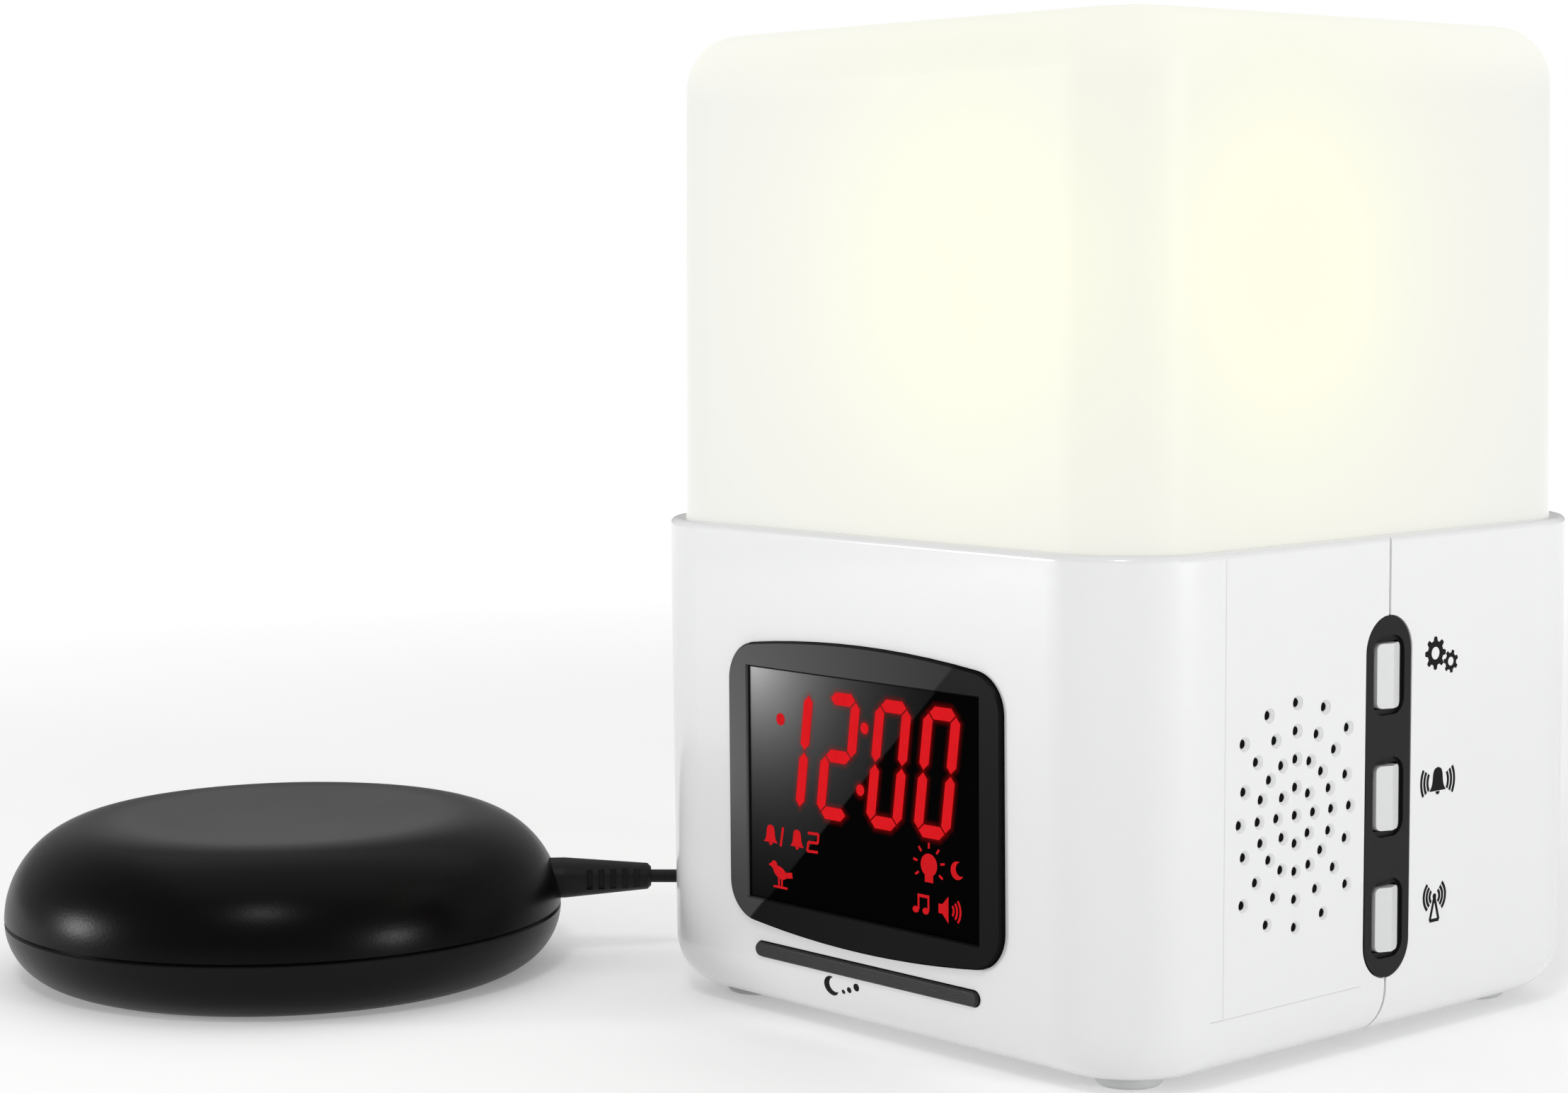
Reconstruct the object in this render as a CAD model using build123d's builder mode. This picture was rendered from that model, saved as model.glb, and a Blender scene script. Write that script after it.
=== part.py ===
from build123d import *
import os
from math import cos, radians, sin, sqrt, tan

os.makedirs("parts", exist_ok=True)

# All sizes in millimetres. The clock stands on Z = 0, its display faces -Y,
# its speaker and side buttons face +X, and Z = 0 below its middle is the origin.

# Clock base, two moulded halves that meet on the plane Y = 0
BASE_W = 110.0
BASE_H = 75.3
BASE_CORNER_R = 17.0
BASE_DRAFT = 0.3
BASE_BOTTOM_R = 8.0
RIM_R = 1.0
WALL = 2.2
SEAM_W = 0.5
SEAM_DEPTH = 0.4
FOOT_D = 9.8
FOOT_H = 1.8
FOOT_INSET = 14.5
SLIP = 0.3

# Lamp: diffuser, tray and post
DIFFUSER_H = 75.9
DIFFUSER_SEAT = 3.6
DIFFUSER_WALL = 2.4
DIFFUSER_DRAFT = 0.65
DIFFUSER_TOP_R = 8.5
TRAY_T = 2.5
LEDGE_W = 2.5
LEDGE_T = 2.5
LIP_T = 1.6
LIP_H = 3.0
POST_W = 16.0
POST_H = 70.0
POST_FLANGE_D = 36.0
POST_FLANGE_T = 2.5
LED_STRIP_W = 10.0
LED_STRIP_H = 52.0
LED_STRIP_T = 1.2
LED_SIZE = 5.0
LED_T = 1.6
LED_PITCH = 16.0
LEDS_PER_STRIP = 3

# Display
BEZEL_W = 59.2
BEZEL_H = 46.1
BEZEL_BOW = 2.1
BEZEL_CORNER_R = 6.0
BEZEL_PROUD = 0.75
BEZEL_SEAT = 1.1
DISPLAY_Z = 37.65
PANE_W = 50.2
PANE_H = 35.7
PANE_STEP = 0.6
PANE_GAP = 0.1
MODULE_W = 46.4
MODULE_H = 31.4
MODULE_GAP = 0.3
BOARD_T = 1.6
DISPLAY_DEPTH = 11.6
BOARD_CLEAR = 1.5
BOARD_EDGE = 4.0
STANDOFF_D = 5.0

# Snooze bar below the display
SNOOZE_W = 48.7
SNOOZE_H = 2.2
SNOOZE_Z = 11.5
SNOOZE_PROUD = 0.65
BUTTON_GAP = 0.2
FLANGE_T = 1.0
FLANGE_LIP = 1.0

# Tact switches that the buttons press
SWITCH_W = 6.0
SWITCH_T = 3.5
STEM_D = 3.2
STEM_IN = 1.1
STEM_GAP = 0.2
STEM_FREE = 2.2

# Side strip with three buttons, on the seam of the two halves
STRIP_W = 10.4
STRIP_FOOT_GAP = 9.6
STRIP_TRAY_GAP = 5.8
STRIP_FACE_T = 1.2
STRIP_LEDGE = 1.0
STRIP_DEPTH = 3.2
POCKET_EDGE = 1.1
POCKET_DEPTH = 0.6
BUTTON_W = 5.2
BUTTON_H = 9.6
BUTTON_END = 8.75
BUTTON_PROUD = 0.95
BUTTON_RIDGE = 1.0
BUTTON_TRAVEL = 0.8
SIDE_BOARD_W = 13.0
SIDE_BOARD_EDGE = 0.15
STRIP_LEG_D = 2.6

# Loudspeaker and its holes
GRILLE_Z = 38.1
GRILLE_RINGS = 3
GRILLE_EDGE = 3.26
GRILLE_HOLE_D = 1.3
GRILLE_SINK_D = 2.2
SPEAKER_STRIP_GAP = 0.1
SPEAKER_CORNER_GAP = 1.7
SPEAKER_RIM_W = 2.0
SPEAKER_RIM_T = 1.6
SPEAKER_DEPTH = 6.5
SPEAKER_MAGNET_D = 16.0
SPEAKER_MAGNET_T = 6.0
CONE_T = 0.6

# Case screws that pull the halves together
CASE_SCREW_CLEAR = 0.5
CASE_SCREW_LOW_Z = 11.0
CASE_BOSS_D = 7.0
REAR_BOSS_D = 10.0
CASE_SCREW_D = 2.9
CASE_SCREW_HEAD_D = 5.6
CASE_SCREW_HEAD_T = 2.2
CASE_SCREW_L = 17.0
CASE_WEB_T = 8.0
SCREW_PLAY = 0.05
PILOT_SPARE = 1.0

# Main board and its two sockets on the rear face
MAIN_BOARD_H = 46.0
MAIN_BOARD_LOW_Z = 9.0
MAIN_BOARD_GAP = 14.5
DC_EDGE = 2.2
DC_Z = 16.0
DC_BODY = 9.6
DC_NOSE_D = 8.0
DC_BORE_D = 5.7
DC_BORE_L = 9.0
DC_PIN_D = 2.1
SOCKET_SET_BACK = 0.5
JACK_X = -10.0
JACK_Z = 14.0
JACK_BODY = 8.4
JACK_NOSE_D = 6.4
JACK_BORE_D = 3.6
JACK_BORE_L = 14.5

# Back-up cells under the rear half
CELL_D = 10.5
CELL_L = 44.5
CELL_PITCH = 11.2
CELL_NUB_D = 3.8
CELL_NUB_L = 1.0
BAY_CLEAR = 3.95
CELL_PLAY = 0.4
CONTACT_T = 1.0
CONTACT_W = 8.0
BAY_WALL = 1.5
DOOR_T = 1.6
DOOR_GAP = 0.2
DOOR_GRIP_W = 12.0
DOOR_GRIP_DEPTH = 0.6

# Bed shaker, on its own plane turned so that its lead leaves along local X
SHAKER_X = -108.6
SHAKER_Y = -86.7
SHAKER_TURN = 52.0
SHAKER_D = 92.4
SHAKER_H = 26.0
SHAKER_SEAM_Z = 10.0
SHAKER_FLAT_D = 60.0
SHAKER_BASE_D = 72.0
SHAKER_DISH = 0.8
SHAKER_WALL = 2.2
SHAKER_SEAM_CHAMFER = 0.35
SHAKER_BOSS_D = 6.4
SHAKER_LOW_BOSS_D = 8.4
SHAKER_BOSS_PCD = 64.0
SHAKER_SCREW_D = 2.6
SHAKER_SCREW_HEAD_D = 5.0
SHAKER_SCREW_HEAD_T = 2.0
SHAKER_SCREW_SINK = 0.8
MOTOR_D = 18.0
MOTOR_L = 26.0
MOTOR_END = 4.0
MOTOR_Z = 12.6
SHAFT_D = 2.5
SHAFT_IN = 5.5
SHAFT_PLAY = 0.06
WEIGHT_R = 9.2
WEIGHT_T = 7.0
WEIGHT_GAP = 1.2
WEIGHT_HUB_D = 6.4
CRADLE_W = 25.0
CRADLE_L = 20.0

# Strain relief and cord
RELIEF_Z = 14.0
RELIEF_COLLAR_D = 6.8
RELIEF_COLLAR_T = 2.4
RELIEF_SEAT = 1.19
RELIEF_NECK_D = 5.0
RELIEF_NECK_L = 3.6
RELIEF_FLANGE_D = 8.0
RELIEF_FLANGE_T = 1.5
RELIEF_GAP = 0.15
RELIEF_TIP_D = 4.4
RELIEF_TIP_CHAMFER = 0.6
RELIEF_L = 14.6
RELIEF_SLOTS = 5
RELIEF_SLOT_START = 4.2
RELIEF_SLOT_PITCH = 2.0
RELIEF_SLOT_W = 1.0
RELIEF_SLOT_H = 3.4
RELIEF_CORE_D = 3.4
CORD_D = 2.2
PLUG_D = 8.0
PLUG_L = 18.0
PLUG_TAPER_L = 8.0
PLUG_TIP_D = 4.4
PLUG_PIN_D = 3.5
PLUG_PIN_L = 14.0
PLUG_COLLAR_GAP = 0.6

# Put-away coil behind the clock
COIL_AWAY = 49.0
COIL_RUN_IN = 14.0
COIL_GAP = 0.5
COIL_INNER_R = 6.8
COIL_LAYERS = 4
COIL_HALF_TURNS = 10
TIE_T = 0.7
TIE_W = 5.0
TIE_GAP = 0.3
CORD_SIDES = 8
JOIN_GAP = 0.1

# Places worked out from the sizes above
half = BASE_W / 2
inner = half - WALL
inner_r = BASE_CORNER_R - WALL
floor_z = FOOT_H + WALL
rim_z = FOOT_H + BASE_H
seat_z = rim_z - DIFFUSER_SEAT
tray_z = seat_z - TRAY_T
ledge_z = tray_z - LEDGE_T
base_shrink = BASE_H * tan(radians(BASE_DRAFT))
foot_pitch = BASE_W - 2 * FOOT_INSET
coil_y = half + COIL_AWAY
strip_low_z = FOOT_H + STRIP_FOOT_GAP
strip_h = tray_z - STRIP_TRAY_GAP - strip_low_z
strip_z = strip_low_z + strip_h / 2
core_h = strip_h - 2 * STRIP_LEDGE
core_w = STRIP_W - 2 * STRIP_LEDGE
button_pitch = strip_h / 2 - BUTTON_END
strip_floor = half - STRIP_FACE_T - base_shrink / 2
strip_face = strip_floor + STRIP_FACE_T
strip_back = strip_face - STRIP_DEPTH
flange_back = strip_back - SLIP - FLANGE_T
side_switch_front = flange_back - STEM_FREE
side_board_front = side_switch_front - SWITCH_T
side_board_back = side_board_front - BOARD_T
side_board_h = 2 * button_pitch + SWITCH_W + 2 * SIDE_BOARD_EDGE
case_screw_x = side_board_back - REAR_BOSS_D / 2 - CASE_SCREW_CLEAR
case_screw_high_z = tray_z - REAR_BOSS_D / 2 - CASE_SCREW_CLEAR
board_w = 2 * (case_screw_x - REAR_BOSS_D / 2 - BOARD_CLEAR)
dc_x = board_w / 2 - DC_BODY / 2 - DC_EDGE
display_board_y = DISPLAY_DEPTH - half
speaker_r = (inner - inner_r - STRIP_W / 2 - SPEAKER_STRIP_GAP - SPEAKER_CORNER_GAP) / 2
grille_y = -(STRIP_W / 2 + SPEAKER_STRIP_GAP + speaker_r)
grille_pitch = (speaker_r - GRILLE_EDGE) / GRILLE_RINGS


def case_block(inset):
    """Outer block of the base, drafted and rounded, drawn in by inset all round."""
    with BuildPart() as block:
        with BuildSketch(Plane.XY.offset(FOOT_H + inset)):
            width = BASE_W - 2 * base_shrink - 2 * inset
            RectangleRounded(width, width, BASE_CORNER_R - base_shrink - inset)
        extrude(amount=BASE_H - inset, taper=-BASE_DRAFT)
        fillet(block.faces().sort_by(Axis.Z)[0].edges(), BASE_BOTTOM_R - inset)
    return block.part


# Hollow base before it is parted into its two halves
with BuildPart() as case_cavity:
    with BuildSketch(Plane.XY.offset(floor_z)):
        RectangleRounded(2 * inner, 2 * inner, inner_r)
    extrude(amount=BASE_H)
    fillet(case_cavity.faces().sort_by(Axis.Z)[0].edges(), BASE_BOTTOM_R - WALL)

with BuildPart() as seam_groove:
    Box(2 * BASE_W, SEAM_W, 4 * BASE_H)
    add(case_block(0), mode=Mode.INTERSECT)
    add(case_block(SEAM_DEPTH), mode=Mode.SUBTRACT)

with BuildPart() as case_shell:
    add(case_block(0))
    fillet(case_shell.faces().sort_by(Axis.Z)[-1].edges(), RIM_R)
    add(case_cavity.part, mode=Mode.SUBTRACT)
    with BuildSketch(Plane.XY.offset(ledge_z)):
        RectangleRounded(2 * inner, 2 * inner, inner_r)
        RectangleRounded(2 * (inner - LEDGE_W), 2 * (inner - LEDGE_W), inner_r - LEDGE_W, mode=Mode.SUBTRACT)
    extrude(amount=LEDGE_T)
    add(seam_groove.part, mode=Mode.SUBTRACT)
    with BuildSketch(Plane.YZ.offset(half + WALL)):
        with Locations((0, strip_z)):
            SlotOverall(strip_h + 2 * BUTTON_GAP, STRIP_W + 2 * BUTTON_GAP, rotation=90)
    extrude(amount=-(WALL + STRIP_FACE_T + base_shrink / 2), mode=Mode.SUBTRACT)
    with BuildSketch(Plane.YZ.offset(half + WALL)):
        with Locations((0, strip_z)):
            SlotOverall(core_h + BUTTON_GAP, core_w + BUTTON_GAP, rotation=90)
    extrude(amount=-4 * WALL, mode=Mode.SUBTRACT)


def face_at(z):
    """Distance of the drafted outer face from the middle, at height z."""
    return half - (rim_z - z) * tan(radians(BASE_DRAFT))


def bezel_outline(grow):
    """Barrel outline of the display frame, with bowed long edges, made larger by grow."""
    w = BEZEL_W / 2 + grow
    h = BEZEL_H / 2 + grow
    with BuildSketch() as outline:
        with BuildLine():
            top = ThreePointArc((-w, h - BEZEL_BOW), (0, h), (w, h - BEZEL_BOW))
            right = Line(top @ 1, (w, BEZEL_BOW - h))
            bottom = ThreePointArc(right @ 1, (0, -h), (-w, BEZEL_BOW - h))
            Line(bottom @ 1, top @ 0)
        make_face()
        fillet(outline.vertices(), BEZEL_CORNER_R + grow)
    return outline.sketch


case_screw_points = [
    (side * case_screw_x, z) for side in (-1, 1) for z in (CASE_SCREW_LOW_Z, case_screw_high_z)
]
case_pilot_depth = CASE_SCREW_L - CASE_WEB_T + PILOT_SPARE
bezel_floor = half - BEZEL_SEAT
board_front_y = display_board_y - BOARD_T
switch_well = STEM_IN + BUTTON_TRAVEL + 3 * STEM_GAP
board_low_z = SNOOZE_Z - SWITCH_W / 2 - BOARD_EDGE / 4
board_high_z = DISPLAY_Z + BEZEL_H / 2
standoff_low_z = SNOOZE_Z + SNOOZE_H / 2 + FLANGE_LIP + STANDOFF_D / 2 + BOARD_EDGE / 4
standoff_points = [
    (side * (board_w / 2 - BOARD_EDGE), z)
    for side in (-1, 1)
    for z in (standoff_low_z, board_high_z - BOARD_EDGE)
]

# Posts of the front half, trimmed so that they end inside its wall
with BuildPart() as front_posts:
    with BuildSketch(Plane.XZ):
        with Locations(*case_screw_points):
            Circle(CASE_BOSS_D / 2)
    extrude(amount=half)
    with BuildSketch(Plane.XZ.offset(-board_front_y)):
        with Locations(*standoff_points):
            Circle(STANDOFF_D / 2)
    extrude(amount=half + board_front_y)
    add(case_block(WALL / 2), mode=Mode.INTERSECT)

# Front half: display opening, snooze slot and loudspeaker holes
with BuildPart() as front_housing:
    add(case_shell.part)
    split(bisect_by=Plane.XZ, keep=Keep.TOP)
    add(front_posts.part)
    with BuildSketch(Plane.XZ):
        with Locations(*case_screw_points):
            Circle(CASE_SCREW_D / 2 + SCREW_PLAY)
    extrude(amount=case_pilot_depth, mode=Mode.SUBTRACT)
    with BuildSketch(Plane.XZ.offset(half + BEZEL_PROUD)):
        with Locations((0, DISPLAY_Z)):
            add(bezel_outline(PANE_GAP))
    extrude(amount=-(BEZEL_PROUD + BEZEL_SEAT), mode=Mode.SUBTRACT)
    with BuildSketch(Plane.XZ.offset(half)):
        with Locations((0, DISPLAY_Z)):
            Rectangle(MODULE_W + 2 * MODULE_GAP, MODULE_H + 2 * MODULE_GAP)
        with Locations((0, SNOOZE_Z)):
            SlotOverall(SNOOZE_W + 2 * BUTTON_GAP, SNOOZE_H + 2 * BUTTON_GAP)
    extrude(amount=-2 * WALL, mode=Mode.SUBTRACT)
    grille = Plane(origin=(face_at(GRILLE_Z), grille_y, GRILLE_Z), x_dir=(0, 0, 1), z_dir=(1, 0, 0))
    outer_ring = (GRILLE_RINGS + 1) * grille_pitch
    with Locations(grille):
        CounterSinkHole(GRILLE_HOLE_D / 2, GRILLE_SINK_D / 2, depth=2 * WALL)
        with PolarLocations(grille_pitch, 8):
            CounterSinkHole(GRILLE_HOLE_D / 2, GRILLE_SINK_D / 2, depth=2 * WALL)
        for ring in range(2, GRILLE_RINGS + 1):
            with PolarLocations(ring * grille_pitch, 16):
                CounterSinkHole(GRILLE_HOLE_D / 2, GRILLE_SINK_D / 2, depth=2 * WALL)
        for middle in (0, 180):
            with PolarLocations(outer_ring, 5, start_angle=middle - 45, angular_range=90, endpoint=True):
                CounterSinkHole(GRILLE_HOLE_D / 2, GRILLE_SINK_D / 2, depth=2 * WALL)
front_housing.part.label = "front_housing"
export_step(front_housing.part, "parts/front_housing.step")

# Back-up battery bay, open below
bay_w = CELL_L + 2 * CONTACT_T + 2 * CELL_PLAY
bay_d = CELL_PITCH + CELL_D + 2 * CELL_PLAY
bay_h = DOOR_T + CELL_D + 2 * CELL_PLAY
cell_z = FOOT_H + DOOR_T + CELL_PLAY + CELL_D / 2
main_board_y = inner - MAIN_BOARD_GAP
cell_y = main_board_y - BOARD_T - BAY_CLEAR - BAY_WALL - bay_d / 2
main_standoffs = [
    (side * (board_w / 2 - BOARD_EDGE), z)
    for side in (-1, 1)
    for z in (MAIN_BOARD_LOW_Z + MAIN_BOARD_H / 2, MAIN_BOARD_LOW_Z + MAIN_BOARD_H - BOARD_EDGE)
]

with BuildPart() as rear_posts:
    with BuildSketch(Plane.XZ):
        with Locations(*case_screw_points):
            Circle(REAR_BOSS_D / 2)
    extrude(amount=-half)
    with BuildSketch(Plane.XZ.offset(-main_board_y)):
        with Locations(*main_standoffs):
            Circle(STANDOFF_D / 2)
    extrude(amount=main_board_y - half)
    add(case_block(WALL / 2), mode=Mode.INTERSECT)

# Rear half: deep screw holes, two socket holes and the battery bay
with BuildPart() as rear_housing:
    add(case_shell.part)
    split(bisect_by=Plane.XZ, keep=Keep.BOTTOM)
    add(rear_posts.part)
    with BuildSketch(Plane.XY.offset(FOOT_H)):
        with Locations((0, cell_y)):
            Rectangle(bay_w + 2 * BAY_WALL, bay_d + 2 * BAY_WALL)
    extrude(amount=bay_h + BAY_WALL)
    with BuildSketch(Plane.XY.offset(FOOT_H)):
        with Locations((0, cell_y)):
            Rectangle(bay_w, bay_d)
    extrude(amount=bay_h, mode=Mode.SUBTRACT)
    with BuildSketch(Plane.XZ.offset(-CASE_WEB_T)):
        with Locations(*case_screw_points):
            Circle(CASE_SCREW_HEAD_D / 2 + SLIP)
    extrude(amount=-half, mode=Mode.SUBTRACT)
    with BuildSketch(Plane.XZ):
        with Locations(*case_screw_points):
            Circle(CASE_SCREW_D / 2 + SLIP)
    extrude(amount=-CASE_WEB_T, mode=Mode.SUBTRACT)
    with BuildSketch(Plane.XZ.offset(-half - WALL)):
        with Locations((dc_x, DC_Z)):
            Circle(DC_NOSE_D / 2 + BUTTON_GAP)
        with Locations((JACK_X, JACK_Z)):
            Circle(JACK_NOSE_D / 2 + BUTTON_GAP)
    extrude(amount=3 * WALL, mode=Mode.SUBTRACT)
rear_housing.part.label = "rear_housing"
export_step(rear_housing.part, "parts/rear_housing.step")

with BuildPart() as case_screws:
    with BuildSketch(Plane.XZ.offset(-CASE_WEB_T)):
        with Locations(*case_screw_points):
            Circle(CASE_SCREW_HEAD_D / 2)
    extrude(amount=-CASE_SCREW_HEAD_T)
    with BuildSketch(Plane.XZ.offset(-CASE_WEB_T)):
        with Locations(*case_screw_points):
            Circle(CASE_SCREW_D / 2)
    extrude(amount=CASE_SCREW_L)
case_screws.part.label = "case_screws"
export_step(case_screws.part, "parts/case_screws.step")

with BuildPart() as feet:
    with BuildSketch():
        with GridLocations(foot_pitch, foot_pitch, 2, 2):
            Circle(FOOT_D / 2)
    extrude(amount=FOOT_H)
    chamfer(feet.faces().group_by(Axis.Z)[0].edges(), FOOT_H / 5)
feet.part.label = "feet"
export_step(feet.part, "parts/feet.step")

# Lamp tray, seated on the ledge inside the rim, with a lip that centres the diffuser
with BuildPart() as lamp_tray:
    with BuildSketch(Plane.XY.offset(tray_z)):
        RectangleRounded(2 * (inner - SLIP), 2 * (inner - SLIP), inner_r - SLIP)
    extrude(amount=TRAY_T)
    lip = inner - 2 * SLIP - DIFFUSER_WALL
    lip_r = inner_r - 2 * SLIP - DIFFUSER_WALL
    with BuildSketch(Plane.XY.offset(seat_z)):
        RectangleRounded(2 * lip, 2 * lip, lip_r)
        RectangleRounded(2 * (lip - LIP_T), 2 * (lip - LIP_T), lip_r - LIP_T, mode=Mode.SUBTRACT)
    extrude(amount=LIP_H)
    chamfer(lamp_tray.faces().sort_by(Axis.Z)[-1].edges(), LIP_T / 4)
lamp_tray.part.label = "lamp_tray"
export_step(lamp_tray.part, "parts/lamp_tray.step")

# Diffuser: a drafted, open-bottomed box with a large radius round its top
diffuser_side = 2 * (inner - SLIP)
diffuser_tall = DIFFUSER_H + DIFFUSER_SEAT
with BuildPart() as diffuser_core:
    with BuildSketch(Plane.XY.offset(seat_z)):
        core_side = diffuser_side - 2 * DIFFUSER_WALL
        RectangleRounded(core_side, core_side, inner_r - SLIP - DIFFUSER_WALL)
    extrude(amount=diffuser_tall - DIFFUSER_WALL, taper=DIFFUSER_DRAFT)
    fillet(diffuser_core.faces().sort_by(Axis.Z)[-1].edges(), DIFFUSER_TOP_R - DIFFUSER_WALL)

with BuildPart() as diffuser:
    with BuildSketch(Plane.XY.offset(seat_z)):
        RectangleRounded(diffuser_side, diffuser_side, inner_r - SLIP)
    extrude(amount=diffuser_tall, taper=DIFFUSER_DRAFT)
    fillet(diffuser.faces().sort_by(Axis.Z)[-1].edges(), DIFFUSER_TOP_R)
    add(diffuser_core.part, mode=Mode.SUBTRACT)
diffuser.part.label = "diffuser"
export_step(diffuser.part, "parts/diffuser.step")

# Lamp post with an LED strip on each side
with BuildPart() as lamp_post:
    with BuildSketch(Plane.XY.offset(seat_z)):
        Circle(POST_FLANGE_D / 2)
    extrude(amount=POST_FLANGE_T)
    with BuildSketch(Plane.XY.offset(seat_z)):
        RectangleRounded(POST_W, POST_W, POST_W / 10)
    extrude(amount=POST_H)
    chamfer(lamp_post.faces().sort_by(Axis.Z)[-1].edges(), POST_W / 16)
lamp_post.part.label = "lamp_post"
export_step(lamp_post.part, "parts/lamp_post.step")

strip_mid_z = seat_z + POST_H - LED_STRIP_H / 2 - POST_W / 8
with BuildPart() as led_strips:
    with Locations((0, 0, strip_mid_z)):
        with PolarLocations(POST_W / 2 + LED_STRIP_T / 2, 4):
            Box(LED_STRIP_T, LED_STRIP_W, LED_STRIP_H)
led_strips.part.label = "led_strips"
export_step(led_strips.part, "parts/led_strips.step")

with BuildPart() as lamp_leds:
    for step in range(LEDS_PER_STRIP):
        led_z = strip_mid_z + (step - (LEDS_PER_STRIP - 1) / 2) * LED_PITCH
        with Locations((0, 0, led_z)):
            with PolarLocations(POST_W / 2 + LED_STRIP_T + LED_T / 2, 4):
                Box(LED_T, LED_SIZE, LED_SIZE)
lamp_leds.part.label = "lamp_leds"
export_step(lamp_leds.part, "parts/lamp_leds.step")

# Display frame, smoked window, LED module and board
with BuildPart() as display_bezel:
    with BuildSketch(Plane.XZ.offset(bezel_floor)):
        with Locations((0, DISPLAY_Z)):
            add(bezel_outline(0))
            Rectangle(PANE_W + 2 * PANE_GAP, PANE_H + 2 * PANE_GAP, mode=Mode.SUBTRACT)
    extrude(amount=BEZEL_SEAT + BEZEL_PROUD)
    chamfer(display_bezel.faces().sort_by(Axis.Y)[0].edges(), BEZEL_PROUD / 3)
display_bezel.part.label = "display_bezel"
export_step(display_bezel.part, "parts/display_bezel.step")

with BuildPart() as display_window:
    with BuildSketch(Plane.XZ.offset(bezel_floor)):
        with Locations((0, DISPLAY_Z)):
            Rectangle(PANE_W, PANE_H)
    extrude(amount=BEZEL_SEAT + BEZEL_PROUD - PANE_STEP)
display_window.part.label = "display_window"
export_step(display_window.part, "parts/display_window.step")

with BuildPart() as display_module:
    with BuildSketch(Plane.XZ.offset(-board_front_y)):
        with Locations((0, DISPLAY_Z)):
            Rectangle(MODULE_W, MODULE_H)
    extrude(amount=bezel_floor + board_front_y - MODULE_GAP)
display_module.part.label = "display_module"
export_step(display_module.part, "parts/display_module.step")

with BuildPart() as display_board:
    with BuildSketch(Plane.XZ.offset(-display_board_y)):
        with Locations((0, (board_low_z + board_high_z) / 2)):
            Rectangle(board_w, board_high_z - board_low_z)
    extrude(amount=BOARD_T)
display_board.part.label = "display_board"
export_step(display_board.part, "parts/display_board.step")

with BuildPart() as snooze_switch:
    with BuildSketch(Plane.XZ.offset(-board_front_y)):
        with Locations((0, SNOOZE_Z)):
            Rectangle(SWITCH_W, SWITCH_W)
    extrude(amount=SWITCH_T)
    with BuildSketch(Plane.XZ.offset(-board_front_y + SWITCH_T)):
        with Locations((0, SNOOZE_Z)):
            Circle(STEM_D / 2 + STEM_GAP)
    extrude(amount=-switch_well, mode=Mode.SUBTRACT)
snooze_switch.part.label = "snooze_switch"
export_step(snooze_switch.part, "parts/snooze_switch.step")

# Snooze bar: cap, retaining flange behind the wall, and stem
snooze_flange = inner - SLIP
with BuildPart() as snooze_bar:
    with BuildSketch(Plane.XZ.offset(snooze_flange - FLANGE_T)):
        with Locations((0, SNOOZE_Z)):
            Rectangle(SNOOZE_W + 2 * FLANGE_LIP, SNOOZE_H + 2 * FLANGE_LIP)
    extrude(amount=FLANGE_T)
    with BuildSketch(Plane.XZ.offset(snooze_flange)):
        with Locations((0, SNOOZE_Z)):
            SlotOverall(SNOOZE_W, SNOOZE_H)
    extrude(amount=face_at(SNOOZE_Z) + SNOOZE_PROUD - snooze_flange)
    fillet(snooze_bar.faces().sort_by(Axis.Y)[0].edges(), SNOOZE_PROUD / 2)
    with BuildSketch(Plane.XZ.offset(snooze_flange - FLANGE_T)):
        with Locations((0, SNOOZE_Z)):
            Circle(STEM_D / 2)
    extrude(amount=SWITCH_T - board_front_y - STEM_IN - snooze_flange + FLANGE_T)
snooze_bar.part.label = "snooze_bar"
export_step(snooze_bar.part, "parts/snooze_bar.step")

# Side strip: face plate, core through the wall, pockets, holes and legs to its board
button_points = [(0, strip_z + step * button_pitch) for step in (-1, 0, 1)]
leg_points = [(0, strip_z + step * button_pitch / 2) for step in (-1, 1)]

with BuildPart() as button_strip:
    with BuildSketch(Plane.YZ.offset(strip_floor)):
        with Locations((0, strip_z)):
            SlotOverall(strip_h, STRIP_W, rotation=90)
    extrude(amount=STRIP_FACE_T)
    with BuildSketch(Plane.YZ.offset(strip_back)):
        with Locations((0, strip_z)):
            SlotOverall(core_h - BUTTON_GAP, core_w - BUTTON_GAP, rotation=90)
    extrude(amount=strip_floor - strip_back)
    with BuildSketch(Plane.YZ.offset(side_board_front)):
        with Locations(*leg_points):
            Circle(STRIP_LEG_D / 2)
    extrude(amount=strip_back - side_board_front)
    with BuildSketch(Plane.YZ.offset(strip_face)):
        with Locations(*button_points):
            pocket_w = BUTTON_W + 2 * POCKET_EDGE
            RectangleRounded(pocket_w, BUTTON_H + 2 * POCKET_EDGE, pocket_w / 3)
    extrude(amount=-POCKET_DEPTH, mode=Mode.SUBTRACT)
    with BuildSketch(Plane.YZ.offset(strip_face)):
        with Locations(*button_points):
            Rectangle(BUTTON_W + 2 * BUTTON_GAP, BUTTON_H + 2 * BUTTON_GAP)
    extrude(amount=-2 * STRIP_DEPTH, mode=Mode.SUBTRACT)
button_strip.part.label = "button_strip"
export_step(button_strip.part, "parts/button_strip.step")


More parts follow.
